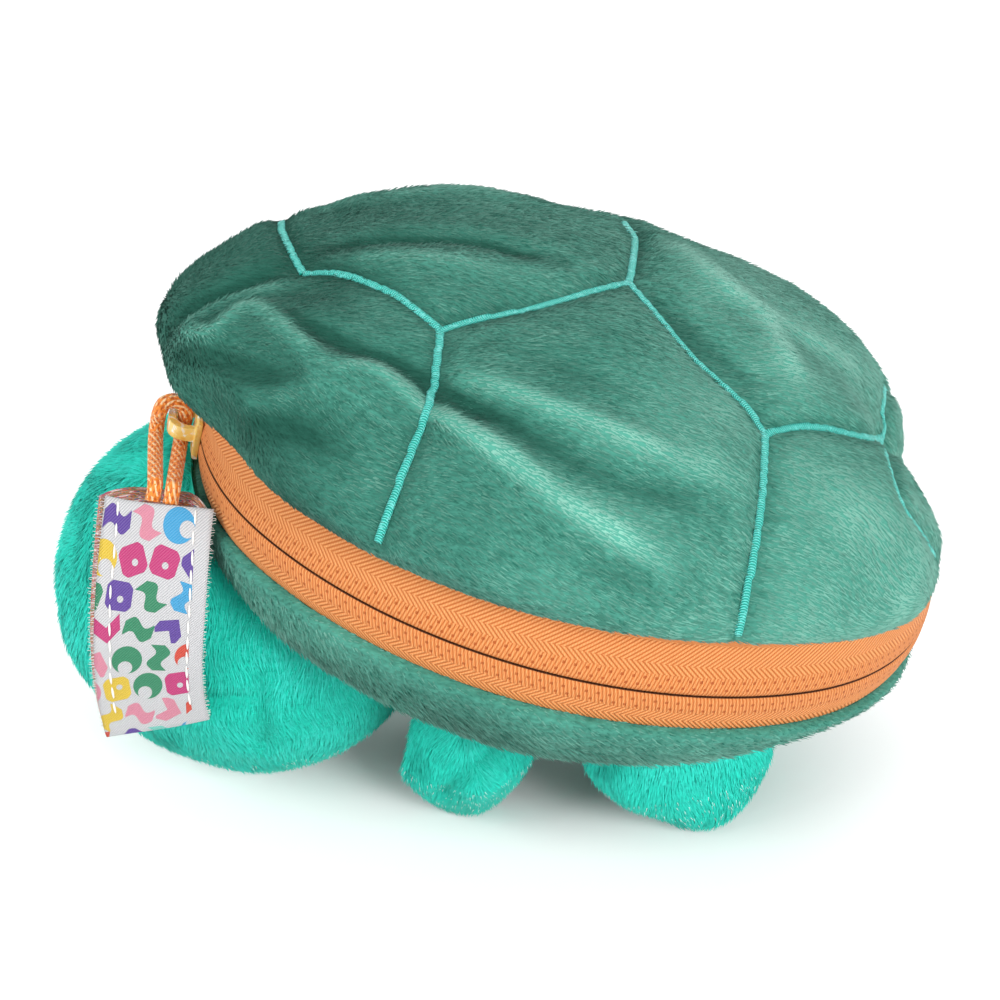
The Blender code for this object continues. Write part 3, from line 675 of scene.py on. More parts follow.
# Gives a skin its nap: the way each spike points, how long it is, and where there is pile
def combNap(mesh, flow, lift, long, share, toneAndPaintedLight=0.0, swirl=0.35, swirlSize=0.02):
    places, normals = coordinatesOf(mesh), normalsOf(mesh)
    waves = np.array([noise.noise_vector(Vector(p) / swirlSize) for p in places])
    flow = np.broadcast_to(np.asarray(flow, float), places.shape) + swirl * waves
    flow = flow - normals * (flow * normals).sum(1)[:, None]
    flow /= np.maximum(np.linalg.norm(flow, axis=1), 1e-6)[:, None]
    newAttribute(mesh, "pileWay", "FLOAT_VECTOR", flow * cos(lift) + normals * sin(lift))
    newAttribute(mesh, "skinWay", "FLOAT_VECTOR", normals)
    newAttribute(mesh, "pileLong", "FLOAT", np.broadcast_to(long, len(places)))
    newAttribute(mesh, "pileShare", "FLOAT", np.broadcast_to(share, len(places)))
    newAttribute(mesh, "toneAndPaintedLight", "FLOAT", np.broadcast_to(toneAndPaintedLight, len(places)))


# The map that each spike's faces share with its root, laid out from above or round a ball
def mapPile(mesh, flat, middle):
    root = readAttribute(mesh, "root", 3)
    rise = readAttribute(mesh, "rise", 1)
    if flat:
        low, high = root[:, :2].min(0), root[:, :2].max(0)
        uv = 0.04 + 0.92 * (root[:, :2] - low) / (high - low)
    else:
        local = root - np.array(middle)
        far = np.maximum(np.linalg.norm(local, axis=1), 1e-6)
        polar = np.arccos(np.clip(local[:, 2] / far, -1, 1))
        uv = np.stack([0.5 + 0.46 * np.arctan2(local[:, 1], local[:, 0]) / pi, 0.04 + 0.92 * polar / pi], 1)
    corner = np.arange(len(root)) % 4
    uv += np.stack([np.cos(corner * 2.1), np.sin(corner * 2.1)], 1) * 0.0011 + rise[:, None] * 0.0022
    loops = np.empty(len(mesh.loops), np.int32)
    mesh.loops.foreach_get("vertex_index", loops)
    layer = mesh.uv_layers.new(name="OFBake")
    layer.data.foreach_set("uv", uv[loops].astype(np.float32).ravel())


# Grows about as many tufts as asked; each is lit mostly by the way its skin faces, so the pile looks soft
def growPile(skin, name, body, kind, count, seed, flat=True, middle=(0, 0, 0), part=None):
    carrier = bpy.data.objects.new(name, skin.data.copy())
    scene.collection.objects.link(carrier)
    mesh = carrier.data
    share = readAttribute(mesh, "pileShare", 1)
    if part:
        away = coordinatesOf(mesh) @ np.array(rimAlong)
        share = share * ((away >= part[0]) & (away < part[1]))
        mesh.attributes["pileShare"].data.foreach_set("value", share.astype(np.float32))
    area = sum(p.area * share[p.vertices[0]] for p in mesh.polygons)
    modifier = carrier.modifiers.new("pile", "NODES")
    modifier.node_group = pileGroup(count / area, kind["width"], kind["jitter"], seed)
    applyModifiers(carrier)
    mesh = carrier.data
    places = coordinatesOf(mesh)
    places[:, 2] = np.maximum(places[:, 2], 0.1 * mm)
    mesh.vertices.foreach_set("co", places.ravel())
    mesh.update()
    facing = readAttribute(mesh, "skinWay", 3) * kind["soft"] + normalsOf(mesh) * (1 - kind["soft"])
    facing /= np.maximum(np.linalg.norm(facing, axis=1), 1e-6)[:, None]
    mapPile(mesh, flat, middle)
    for label in ("pileWay", "pileLong", "pileShare", "skinWay"):
        mesh.attributes.remove(mesh.attributes[label])
    mesh.normals_split_custom_set_from_vertices(facing.tolist())
    mesh.materials.clear()
    mesh.materials.append(kind["pileMaterial"])
    print("pile", name, len(mesh.polygons), "on mm2", round(area * 1e6))
    if body:
        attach(carrier, body)
    return carrier


# The pile of a large piece, in strips across it that hold the same area
def growStrips(skin, name, body, kind, count, strips, seed):
    mesh = skin.data
    share = readAttribute(mesh, "pileShare", 1)
    places = np.array([(p.center.dot(rimAlong), p.area * share[p.vertices[0]]) for p in mesh.polygons])
    places = places[np.argsort(places[:, 0])]
    total = np.cumsum(places[:, 1])
    cuts = [-1] + [places[np.searchsorted(total, total[-1] * i / strips), 0] for i in range(1, strips)] + [1]
    for i in range(strips):
        growPile(skin, name + str(i + 1), body, kind, count / strips, seed + 7 * i, part=(cuts[i], cuts[i + 1]))


def pileMaterial(name, kind, roughness):
    material, tree, shader = newMaterial(name, kind["tip"], roughness, sheen=kind["sheen"], specular=0.15)
    rise = addNode(tree, "ShaderNodeAttribute", attribute_name="rise").outputs["Fac"]
    tint = addNode(tree, "ShaderNodeAttribute", attribute_name="tint").outputs["Fac"]
    cloud = placeGroup(tree, mottle, Scale=kind["cloud"])["Height"]
    streak = placeGroup(tree, mottle, Scale=620, Detail=2, Stretch=(0.4, 1.0, 1.0))["Height"]
    # painted shade: darker at the roots and in streaky gaps between the strands
    strandGapShade = mathNode(tree, "MULTIPLY", mathNode(tree, "MAXIMUM", mathNode(tree, "SUBTRACT", 0.56, streak), 0.0), kind["strandGapShade"])
    body = mixColour(tree, mathNode(tree, "SUBTRACT", rise, strandGapShade), kind["root"], kind["tip"])
    body = mixColour(tree, mathNode(tree, "MULTIPLY", mathNode(tree, "MULTIPLY", tint, cloud), 0.8), body, kind["paleAndHighlight"])
    # painted highlight on fold crests, painted shade in valleys, at the seams and towards the front, and tone that
    # differs at random
    made = placeGroup(tree, toneAndPaintedLightMix, Colour=body, Pale=kind["paleAndHighlight"], Deep=kind["deepAndShade"], Amount=kind["contrast"])
    tone = made["Colour"]
    if "glint" in kind:  # painted glints: single fibre tips painted bright, low on the paws
        place = addNode(tree, "ShaderNodeSeparateXYZ")
        tree.links.new(addNode(tree, "ShaderNodeTexCoord").outputs["Object"], place.inputs[0])
        low = mathNode(tree, "LESS_THAN", place.outputs[2], kind["glintTop"])
        bright = mathNode(tree, "MULTIPLY", mathNode(tree, "LESS_THAN", tint, kind["glintShare"]), low)
        tip = mathNode(tree, "GREATER_THAN", rise, 0.6)
        tone = mixColour(tree, mathNode(tree, "MULTIPLY", bright, tip), tone, kind["glint"])
    tree.links.new(tone, shader.inputs["Base Color"])
    return material


def skinMaterial(name, kind, roughness):
    material, tree, shader = newMaterial(name, kind["root"], roughness, sheen=0.1, specular=0.2)
    grain = placeGroup(tree, mottle, Dark=kind["deepAndShade"], Light=kind["tip"], Scale=1300, Stretch=(0.4, 1.0, 1.0))
    # painted highlight on fold crests and painted shade in valleys and at the seams, over the grain
    made = placeGroup(tree, toneAndPaintedLightMix, Colour=grain["Colour"], Pale=kind["tip"], Deep=kind["deepAndShade"], Amount=kind["contrast"])
    tree.links.new(made["Colour"], shader.inputs["Base Color"])
    bumpNode(tree, shader, grain["Height"], 0.6, 0.0006)
    return material


# Colours are as the photograph shows them
# deep and pale are also painted shade and painted highlight of the plush
plush = {"deepAndShade": (0.014, 0.100, 0.070), "root": (0.022, 0.165, 0.118), "tip": (0.10, 0.41, 0.315),
         "paleAndHighlight": (0.29, 0.61, 0.50), "long": 1.7 * mm, "lift": radians(17), "width": 0.34 * mm, "jitter": 0.17,
         "soft": 0.66, "sheen": 0.05, "cloud": 90, "contrast": 0.95, "strandGapShade": 7.0, "slot": "green_plush"}
aqua = {"deepAndShade": (0.005, 0.34, 0.250), "root": (0.008, 0.58, 0.435), "tip": (0.016, 0.87, 0.66),
        "paleAndHighlight": (0.09, 0.97, 0.86), "long": 2.4 * mm, "lift": radians(17), "width": 0.32 * mm, "jitter": 0.18,
        "soft": 0.90, "sheen": 0.05, "cloud": 70, "contrast": 0.6, "strandGapShade": 2.0, "slot": "aqua_plush",
        "glint": (0.86, 1.0, 0.97), "glintShare": 0.07, "glintTop": 15 * mm}
plush["pileMaterial"] = pileMaterial("greenPile", plush, 0.8)
aqua["pileMaterial"] = pileMaterial("aquaPile", aqua, 0.6)
plush["skinMaterial"] = skinMaterial("greenPlush", plush, 0.95)
aqua["skinMaterial"] = skinMaterial("aquaPlush", aqua, 0.9)


# The dome's plush cover. Lines and folds are given by where the photograph shows them
dome = {"around": 340, "wall": 16, "top": 100, "dimple": 0.9 * mm, "dimpleWidth": 1.9 * mm, "roll": 0.35 * mm,
        "waves": 0.45 * mm, "inner": 22, "tufts": 190000, "strips": 5}
# Where the plush stands back from the zip: the least, then the amount, the direction and its spread
tapeEdge = {"least": 0.9 * mm, "bumps": ((3.6 * mm, 70, 27), (1.8 * mm, 168, 12)), "front": 187.5, "rear": -37.5,
            "fade": 12, "wall": 8 * mm}
seamPixels = {
    "frontSide": [(303, 271), (322, 271), (345, 274), (370, 282), (395, 293), (418, 309), (440, 328)],
    "middleSide": [(440, 328), (460, 321), (490, 314), (530, 306), (570, 296), (600, 287), (630, 279)],
    "middleAcross": [(630, 279), (633, 262), (635, 240), (630, 228), (624, 219)],
    "rearSide": [(630, 279), (650, 302), (672, 327), (700, 359), (735, 391), (752, 411), (766, 433)],
    "tailSide": [(766, 433), (785, 427), (808, 425), (835, 428), (860, 434), (884, 438)],
    "frontDown": [(440, 328), (438, 350), (433, 380), (428, 410), (415, 440), (403, 470), (390, 505), (377, 543)],
    "rearDown": [(766, 433), (765, 455), (763, 490), (758, 530), (752, 570), (745, 605), (738, 636)],
    "tailDown": [(884, 438), (891, 466), (903, 501), (915, 520), (926, 536), (941, 565)]}
frontTurn = [(303, 271), (294, 255), (287, 242), (281, 228)]
tailTurn = [(884, 438), (888, 426)]


# How much higher than the CAD's edge the dome's plush begins, so that as much tape shows as in the photograph
def edgeRise(angle):
    turn = degrees(angle) % 360
    turn = turn - 360 if turn > 255 else turn
    ends = min(max(min(tapeEdge["front"] - turn, turn - tapeEdge["rear"]) / tapeEdge["fade"], 0), 1)
    rise = tapeEdge["least"] + sum(a * exp(-((turn - place) / wide) ** 2) for a, place, wide in tapeEdge["bumps"])
    return rise * ends * ends * (3 - 2 * ends)


# The share at which the plush is at an angle, where a share of the plain form is given
def raisedShare(angle, share):
    edge, shoulder = shell["edgeShare"], shell["shoulderShare"]
    left = min(max((shoulder - share) / (shoulder - edge), 0), 1)
    return share + edgeRise(angle) / tapeEdge["wall"] * (shoulder - edge) * left


def domeOuter(angle, share):
    edge = shell["edgeShare"]
    near = max(0.0, 1 - (share - edge) / 0.05) if share > edge else 1.0
    return domePlace(angle, coverOut - (coverOut - shell["gap"] - 0.2 * mm) * near ** 3, raisedShare(angle, share))


def domeInner(angle, share):
    return domePlace(angle, shell["gap"], raisedShare(angle, share))


def domeShares():
    edge, shoulder = shell["edgeShare"], shell["shoulderShare"]
    return steps(edge, shoulder, dome["wall"]) + steps(shoulder, 1, dome["top"])[1:-1]


def surfaceTree(bm):
    return BVHTree.FromBMesh(bm)


def castPixel(tree, x, y):
    hit = tree.ray_cast(eye, sightLine(x, y))[0]
    return hit


# A line taken again in steps of one length
def evenly(line, step):
    flat = np.array([tuple(p) for p in line])
    along = np.concatenate([[0], np.cumsum(np.linalg.norm(np.diff(flat, axis=0), axis=1))])
    marks = np.linspace(0, along[-1], max(3, round(along[-1] / step) + 1))
    return [Vector(p) for p in np.stack([np.interp(marks, along, flat[:, i]) for i in range(3)], 1)]


plainDome = shellMesh(domeOuter, domeInner, domeShares(), steps(shell["edgeShare"], 1, dome["inner"])[:-1], dome["around"])
domeTree = surfaceTree(plainDome)


# A point of the plain dome straight over a place of the rim's plane
def domeOver(a, b):
    start = rimPlace(a * shell["halfLength"], b * shell["halfWidth"], 90 * mm)
    return domeTree.ray_cast(start, -rimUp)[0]


# A seam over the dome through some places, given as shares of the rim's half length and half width
def seamOver(places, start=None, end=None):
    line = [Vector((a, b, 0)) for a, b in places]
    line = [domeOver(p.x, p.y) for p in smoothPath(line, 14)]
    line = [p for p in line if p is not None]
    return ([start] if start else []) + line + ([end] if end else [])


# The seams seen from the near side lie by their pixels, the others where the relief has them
def seamLines():
    lines = {}
    for name, pixels in seamPixels.items():
        hits = [castPixel(domeTree, p.x, p.y) for p in smoothPath([(x, y, 0) for x, y in pixels], 8)]
        lines[name] = [h for h in hits if h is not None]
    turn = [castPixel(domeTree, x, y) for x, y in frontTurn]
    lines["frontAcross"] = [p for p in turn if p is not None] + seamOver([(-0.95, -0.33), (-0.957, -0.44)])
    turn = [castPixel(domeTree, x, y) for x, y in tailTurn]
    lines["tailAcross"] = [p for p in turn if p is not None] + seamOver([(0.75, -0.25), (0.76, -0.50)])
    lines["middleFar"] = seamOver([(-0.03, -0.55), (-0.04, -0.62)], lines["middleAcross"][-1])
    lines["frontFar"] = seamOver([(-0.957, -0.44), (-0.86, -0.58), (-0.66, -0.69), (-0.43, -0.78)])
    lines["centreFar"] = seamOver([(-0.43, -0.78), (-0.24, -0.72), (-0.04, -0.62)])
    lines["rearFar"] = seamOver([(-0.04, -0.62), (0.20, -0.70), (0.45, -0.76)])
    lines["tailFar"] = seamOver([(0.45, -0.76), (0.62, -0.64), (0.76, -0.50)])
    lines["frontFarDown"] = seamOver([(-0.43, -0.78), (-0.44, -0.90), (-0.44, -0.97)])
    lines["rearFarDown"] = seamOver([(0.45, -0.76), (0.47, -0.86), (0.48, -0.93)])
    lines["noseFarDown"] = seamOver([(-0.957, -0.44), (-0.985, -0.52), (-1.00, -0.58)])
    lines["tailFarDown"] = seamOver([(0.76, -0.50), (0.80, -0.56), (0.83, -0.62)])
    return lines


seams = seamLines()
print("stage: seam lines", {k: len(v) for k, v in seams.items()})


# Folds: lines on the dome by their pixels, then height and width; above zero is a ridge
domeFolds = [
    ([(300, 268), (262, 277), (225, 292), (190, 310), (168, 330)], -2.0 * mm, 2.2 * mm),
    ([(302, 281), (262, 291), (226, 305), (194, 324), (174, 344)], 1.4 * mm, 3.0 * mm),
    ([(178, 336), (212, 334), (248, 310), (278, 322), (303, 345), (322, 368)], 1.8 * mm, 2.4 * mm),
    ([(322, 368), (370, 371), (400, 390), (430, 411), (465, 432), (500, 455), (530, 477)], 2.6 * mm, 2.4 * mm),
    ([(490, 448), (530, 477), (560, 500), (600, 524), (640, 549), (665, 570)], 1.5 * mm, 3.0 * mm),
    ([(280, 312), (320, 330), (360, 347), (395, 362), (430, 386), (470, 404), (510, 420)], -2.3 * mm, 2.5 * mm),
    ([(171, 352), (205, 356), (240, 368), (272, 376), (300, 384)], -1.4 * mm, 2.8 * mm),
    ([(255, 405), (290, 392), (330, 390), (370, 404), (400, 424)], 1.0 * mm, 3.4 * mm),
    ([(240, 430), (275, 425), (310, 436), (345, 462)], -0.9 * mm, 3.2 * mm),
    ([(490, 412), (540, 440), (590, 466), (650, 490), (715, 505)], -1.3 * mm, 3.4 * mm),
    ([(450, 372), (510, 392), (560, 412), (630, 440), (700, 468)], 1.4 * mm, 3.0 * mm),
    ([(500, 345), (560, 366), (620, 392)], -0.8 * mm, 3.4 * mm),
    ([(560, 545), (620, 575), (680, 590)], -0.9 * mm, 4 * mm),
    ([(318, 250), (377, 236), (459, 236), (513, 246), (560, 258)], -2.2 * mm, 2.8 * mm),
    ([(305, 221), (350, 206), (400, 198), (459, 193), (520, 198)], 1.4 * mm, 4 * mm),
    ([(340, 260), (400, 258), (460, 264), (520, 276)], 1.0 * mm, 3.4 * mm),
    ([(665, 242), (708, 275), (751, 312), (783, 356), (800, 390)], 1.4 * mm, 4 * mm),
    ([(660, 292), (690, 332), (738, 374), (765, 404)], -1.2 * mm, 3.2 * mm),
    ([(738, 300), (789, 330), (830, 352), (862, 372)], 0.9 * mm, 4 * mm),
    ([(905, 452), (914, 478), (925, 495)], -1.4 * mm, 3.4 * mm),
    ([(800, 480), (850, 510), (900, 560)], 0.8 * mm, 8 * mm),
    ([(660, 440), (710, 470), (745, 510)], 0.7 * mm, 6 * mm)]


# Painted shade at the front and painted highlight at the rear, in mm along the rim
paintedShadeFrontToRear = ((-90, -0.85), (-55, -0.66), (-25, -0.2), (10, 0.14), (40, 0.26), (70, 0.32))


# Heights of the folds, with a painted highlight on their crests (above zero) and painted shade in their valleys and
# along the seams (below)
def foldHeights(places, tree, folds, lines):
    height, toneAndPaintedLight = np.zeros(len(places)), np.zeros(len(places))
    for pixels, rise, width in folds:
        hits = [castPixel(tree, p.x, p.y) for p in smoothPath([(x, y, 0) for x, y in pixels], 5)]
        hits = [h for h in hits if h is not None]
        if len(hits) < 2:
            continue
        far = distanceTo(places, [hits])
        ends = np.minimum(*(np.linalg.norm(places - np.array(hits[i]), axis=1) for i in (0, -1)))
        rise = rise * (1 - 0.7 * np.exp(-(ends / (6 * mm)) ** 2))
        height += rise * np.exp(-0.5 * (far / width) ** 2)
        toneAndPaintedLight += rise / (1.7 * mm) * np.exp(-0.5 * (far / (0.6 * width)) ** 2)
    if lines:
        far = distanceTo(places, lines)
        height *= 1 - 0.55 * np.exp(-0.5 * (far / (3 * mm)) ** 2)  # a seam holds the cloth flatter
        height -= dome["dimple"] * np.exp(-0.5 * (far / dome["dimpleWidth"]) ** 2)
        height += dome["roll"] * np.exp(-0.5 * ((far - 4.5 * mm) / (2.5 * mm)) ** 2)
        # painted shade along the seams
        toneAndPaintedLight -= 0.5 * np.exp(-0.5 * (far / (1.6 * mm)) ** 2)
    return height, np.clip(toneAndPaintedLight, -1, 1)


def makeDome():
    piece = addPiece("domeCover", plainDome, "lid", ["dome_cover"])
    mesh = piece.data
    places = coordinatesOf(mesh)
    climb = (places - np.array(rimMiddle)) @ np.array(rimUp) - shell["upperShows"]
    height, toneAndPaintedLight = foldHeights(places, domeTree, domeFolds, list(seams.values()))
    height += dome["waves"] * np.array([noise.noise(Vector(p) / 0.016) for p in places])
    toneAndPaintedLight += 0.3 * np.array([noise.noise(Vector(p) / 0.021) for p in places])
    along = (places - np.array(rimMiddle)) @ np.array(rimAlong)
    # painted shade towards the front and painted highlight towards the rear
    toneAndPaintedLight += np.interp(along, [a * mm for a, paintedShade in paintedShadeFrontToRear], [paintedShade for a, paintedShade in paintedShadeFrontToRear])
    height *= np.clip(climb / (8 * mm), 0, 1)
    inside = (normalsOf(mesh) * (places - np.array(rimMiddle))).sum(1) < 0
    height[inside] *= -1
    moveAlongNormals(mesh, height)
    long = plush["long"] * (0.45 + 0.55 * np.clip(climb / (9 * mm), 0, 1))
    flow = tuple(rimAlong * 0.9 + rimNear * 0.25 - Vector((0, 0, 0.12)))
    combNap(mesh, flow, plush["lift"], long, np.where(inside, 0.0, 1.0), toneAndPaintedLight)
    mesh.materials.append(plush["skinMaterial"])
    return piece


domePiece = makeDome()
growStrips(domePiece, "domePile", "lid", plush, dome["tufts"], dome["strips"], 11)
print("stage: dome")


# Embroidered seams: a raised band of slanted satin stitches along each line
# shade and shine are painted shade and painted highlight on the satin
stitching = {"width": 1.75 * mm, "height": 0.7 * mm, "pitch": 0.5 * mm, "lift": 0.22 * mm,
             "thread": (0.022, 0.60, 0.49), "paintedShade": (0.004, 0.34, 0.26), "shine": (0.24, 0.93, 0.86)}


def bandMesh(bm, layer, points, ups, width, height, sides=10):
    along, rings = 0.0, []
    lengths = []
    for i, point in enumerate(points):
        if i:
            along += (point - points[i - 1]).length
        lengths.append(along)
        ahead = (points[min(i + 1, len(points) - 1)] - points[max(i - 1, 0)]).normalized()
        up = (ups[i] - ahead * ups[i].dot(ahead)).normalized()
        side = ahead.cross(up)
        ring = []
        for j in range(sides):
            turn = 2 * pi * j / sides
            ring.append(bm.verts.new(point + side * (cos(turn) * width / 2) + up * (sin(turn) * height / 2)))
        rings.append(ring)
    for i in range(len(rings) - 1):
        for j in range(sides):
            k = (j + 1) % sides
            face = bm.faces.new((rings[i][j], rings[i][k], rings[i + 1][k], rings[i + 1][j]))
            for loop, (ring, turn) in zip(face.loops, ((i, j), (i, j + 1), (i + 1, j + 1), (i + 1, j))):
                loop[layer].uv = (lengths[ring] * 10, turn / sides)
    for ring in (rings[0], rings[-1]):
        bm.faces.new(ring)


def makeSeams():
    bm = bmesh.new()
    layer = bm.loops.layers.uv.new("stitch")
    graph = bpy.context.evaluated_depsgraph_get()
    tree = BVHTree.FromObject(domePiece, graph)
    for name, line in seams.items():
        path = evenly(line, 0.8 * mm)
        for _ in range(6):
            path = [path[0]] + [(a + b * 2 + c) / 4 for a, b, c in zip(path, path[1:], path[2:])] + [path[-1]]
        points, ups = [], []
        for p in path:
            place, up = tree.find_nearest(p)[:2]
            if (p - rimMiddle).dot(up) < 0:
                up = -up
            points.append(place + up * stitching["lift"])
            ups.append(up)
        if len(points) > 3:
            bandMesh(bm, layer, points, ups, stitching["width"], stitching["height"])
    piece = addPiece("seamStitches", bm, "lid")
    material, tree, shader = newMaterial("satinThread", stitching["thread"], 0.45, specular=0.4)
    uv = addNode(tree, "ShaderNodeUVMap", uv_map="stitch").outputs[0]
    split = addNode(tree, "ShaderNodeSeparateXYZ")
    tree.links.new(uv, split.inputs[0])
    across = mathNode(tree, "SINE", mathNode(tree, "MULTIPLY", split.outputs[1], 2 * pi))
    satin = placeGroup(tree, twill, Along=split.outputs[0], Across=across, Pitch=stitching["pitch"] * 10,
                       Slant=0.006, Thread=0.0031, Share=0.45)["Height"]
    # painted shade between the satin stitches and painted highlight on them
    tone = rampNode(tree, satin, [(0.0, stitching["paintedShade"]), (0.5, stitching["thread"]), (1.0, stitching["shine"])])
    patch = placeGroup(tree, mottle, Scale=900, Detail=2)["Height"]
    # painted glints on the thread
    paintedGlint = mathNode(tree, "MULTIPLY", mathNode(tree, "GREATER_THAN", patch, 0.60), 0.6)
    tree.links.new(mixColour(tree, paintedGlint, tone, stitching["shine"]), shader.inputs["Base Color"])
    bumpNode(tree, shader, satin, 0.9, 0.0004)
    piece.data.materials.append(material)
    return piece


makeSeams()
print("stage: seams")


# The stuffed wall behind the covers, faced with lining cloth
# deep is painted shade in the creases
lining = {"outer": -0.9 * mm, "inner": -4.1 * mm, "start": 6 * mm, "around": 96, "rings": 26,
          "cloth": (0.11, 0.30, 0.30), "thread": (0.20, 0.42, 0.41), "deepAndShade": (0.06, 0.20, 0.20)}


def makeLining(name, placeAt, shows, body, replaced):
    edge = shell["edgeShare"]
    first = edge * lining["start"] / shows
    shares = steps(first, edge, 4) + steps(edge, 1, lining["rings"])[1:-1]

    def outerAt(angle, share):
        near = max(0.0, 1 - (share - first) / 0.02)
        return placeAt(angle, lining["outer"] - 1.2 * mm * near ** 2, share)

    def innerAt(angle, share):
        near = max(0.0, 1 - (share - first) / 0.02)
        ripple = 0.25 * mm * sin(7 * angle) * sin(9 * share)
        return placeAt(angle, lining["inner"] + 1.2 * mm * near ** 2 + ripple, share)

    piece = addPiece(name, shellMesh(outerAt, innerAt, shares, shares, lining["around"]), body, replaced)
    if placeAt is domePlace:
        mesh = piece.data
        places = coordinatesOf(mesh)
        climb = (places - np.array(rimMiddle)) @ np.array(rimUp) - shows
        height = np.minimum(foldHeights(places, domeTree, domeFolds, [])[0] - 0.6 * mm, 0)
        height *= np.clip(climb / (8 * mm), 0, 1)
        inside = (normalsOf(mesh) * (places - np.array(rimMiddle))).sum(1) < 0
        moveAlongNormals(mesh, np.where(inside, -height, height))
    piece.data.materials.append(liningMaterial)
    return piece


# Plain woven cloth, creased, with painted shade in its creases
def makeLiningMaterial():
    material, tree, shader = newMaterial("liningCloth", lining["cloth"], 0.55, sheen=0.2)
    place = addNode(tree, "ShaderNodeSeparateXYZ")
    tree.links.new(addNode(tree, "ShaderNodeTexCoord").outputs["Object"], place.inputs[0])
    weave = placeGroup(tree, twill, Along=place.outputs[0], Across=place.outputs[2], Pitch=0.0009, Slant=0.2,
                       Thread=0.0007, Share=0.6)["Height"]
    crease = placeGroup(tree, mottle, Scale=55, Detail=4)["Height"]
    tone = mixColour(tree, weave, lining["cloth"], lining["thread"])
    # painted shade in the creases
    tone = mixColour(tree, mathNode(tree, "MULTIPLY", crease, 0.35), tone, lining["deepAndShade"])
    tree.links.new(tone, shader.inputs["Base Color"])
    bumpNode(tree, shader, mathNode(tree, "ADD", mathNode(tree, "MULTIPLY", weave, 0.15), crease), 0.5, 0.0008)
    return material


liningMaterial = makeLiningMaterial()
makeLining("domeLining", domePlace, shell["upperShows"], "lid", ["dome_lining", "dome_padding"])
makeLining("baseLining", dishPlace, shell["lowerShows"], "base", ["base_lining", "base_padding"])
print("stage: lining")


# The lower half of the shell
dish = {"around": 224, "rings": 46, "inner": 16, "waves": 0.9 * mm, "tufts": 84000, "strips": 2}


def dishOuter(angle, share):
    edge = shell["edgeShare"]
    near = max(0.0, 1 - (share - edge) / 0.04)
    return dishPlace(angle, coverOut - (coverOut - shell["gap"] - 0.2 * mm) * near ** 3, share)


def dishInner(angle, share):
    return dishPlace(angle, shell["gap"], share)


def makeDish():
    edge = shell["edgeShare"]
    outer = steps(edge, edge + 0.06, 5) + steps(edge + 0.06, 1, dish["rings"])[1:-1]
    bm = shellMesh(dishOuter, dishInner, outer, steps(edge, 1, dish["inner"])[:-1], dish["around"])
    piece = addPiece("baseCover", bm, "base", ["base_cover"])
    mesh = piece.data
    places = coordinatesOf(mesh)
    inside = (normalsOf(mesh) * (places - np.array(rimMiddle))).sum(1) < 0
    drop = -((places - np.array(rimMiddle)) @ np.array(rimUp)) - shell["lowerShows"]
    waves = np.array([noise.noise(Vector(p) / 0.02) for p in places])
    height = dish["waves"] * waves * np.clip(drop / (6 * mm), 0, 1)
    height[inside] = 0
    moveAlongNormals(mesh, height)
    below = np.clip((drop - 24 * mm) / (8 * mm), 0, 1)  # fewer and longer tufts underneath, where the legs are
    long = plush["long"] * (0.6 + 0.75 * np.clip(drop / (8 * mm), 0, 1))
    flow = tuple(rimAlong * 0.9 + Vector((0, 0, -0.35)))
    # painted highlight on the bumps of the waves and painted shade in their dips
    combNap(mesh, flow, plush["lift"] * 1.3, long, np.where(inside, 0.0, 1 - 0.6 * below), 0.5 * waves)
    mesh.materials.append(plush["skinMaterial"])
    return piece


dishPiece = makeDish()
growStrips(dishPiece, "basePile", "base", plush, dish["tufts"], dish["strips"], 53)
print("stage: base")


# The zip tapes: twill bands that meet in the middle, with the rows of holes where the coil is sewn on
# pale is a painted highlight on the ribs; dark and gap are painted shade in the grooves, the holes and the gap between
# the tapes
tape = {"thick": 0.6 * mm, "tuck": 3 * mm, "half": 0.17 * mm, "front": 187.5, "rear": -37.5, "count": 300,
        "rows": 20, "orange": (0.70, 0.205, 0.045), "paleAndHighlight": (0.90, 0.43, 0.17), "dark": (0.46, 0.09, 0.014),
        "gap": (0.10, 0.03, 0.01), "sliderAngle": 167.5, "spread": 1.2 * mm, "halfSlider": 5 * mm,
        "ridge": 0.5 * mm, "sewn": 4.3 * mm, "flip": 6.4 * mm, "rib": 0.92 * mm, "thread": 0.5 * mm,
        "holePitch": 2.25 * mm, "holeRows": ((1.5 * mm, 2.05 * mm, 0), (3.1 * mm, 3.65 * mm, 0.5))}


def spreadAt(angle):
    travel = (angle - radians(tape["sliderAngle"])) * endRadius
    share = min(max(travel / tape["halfSlider"], 0), 1)
    return tape["spread"] * share * share * (3 - 2 * share)


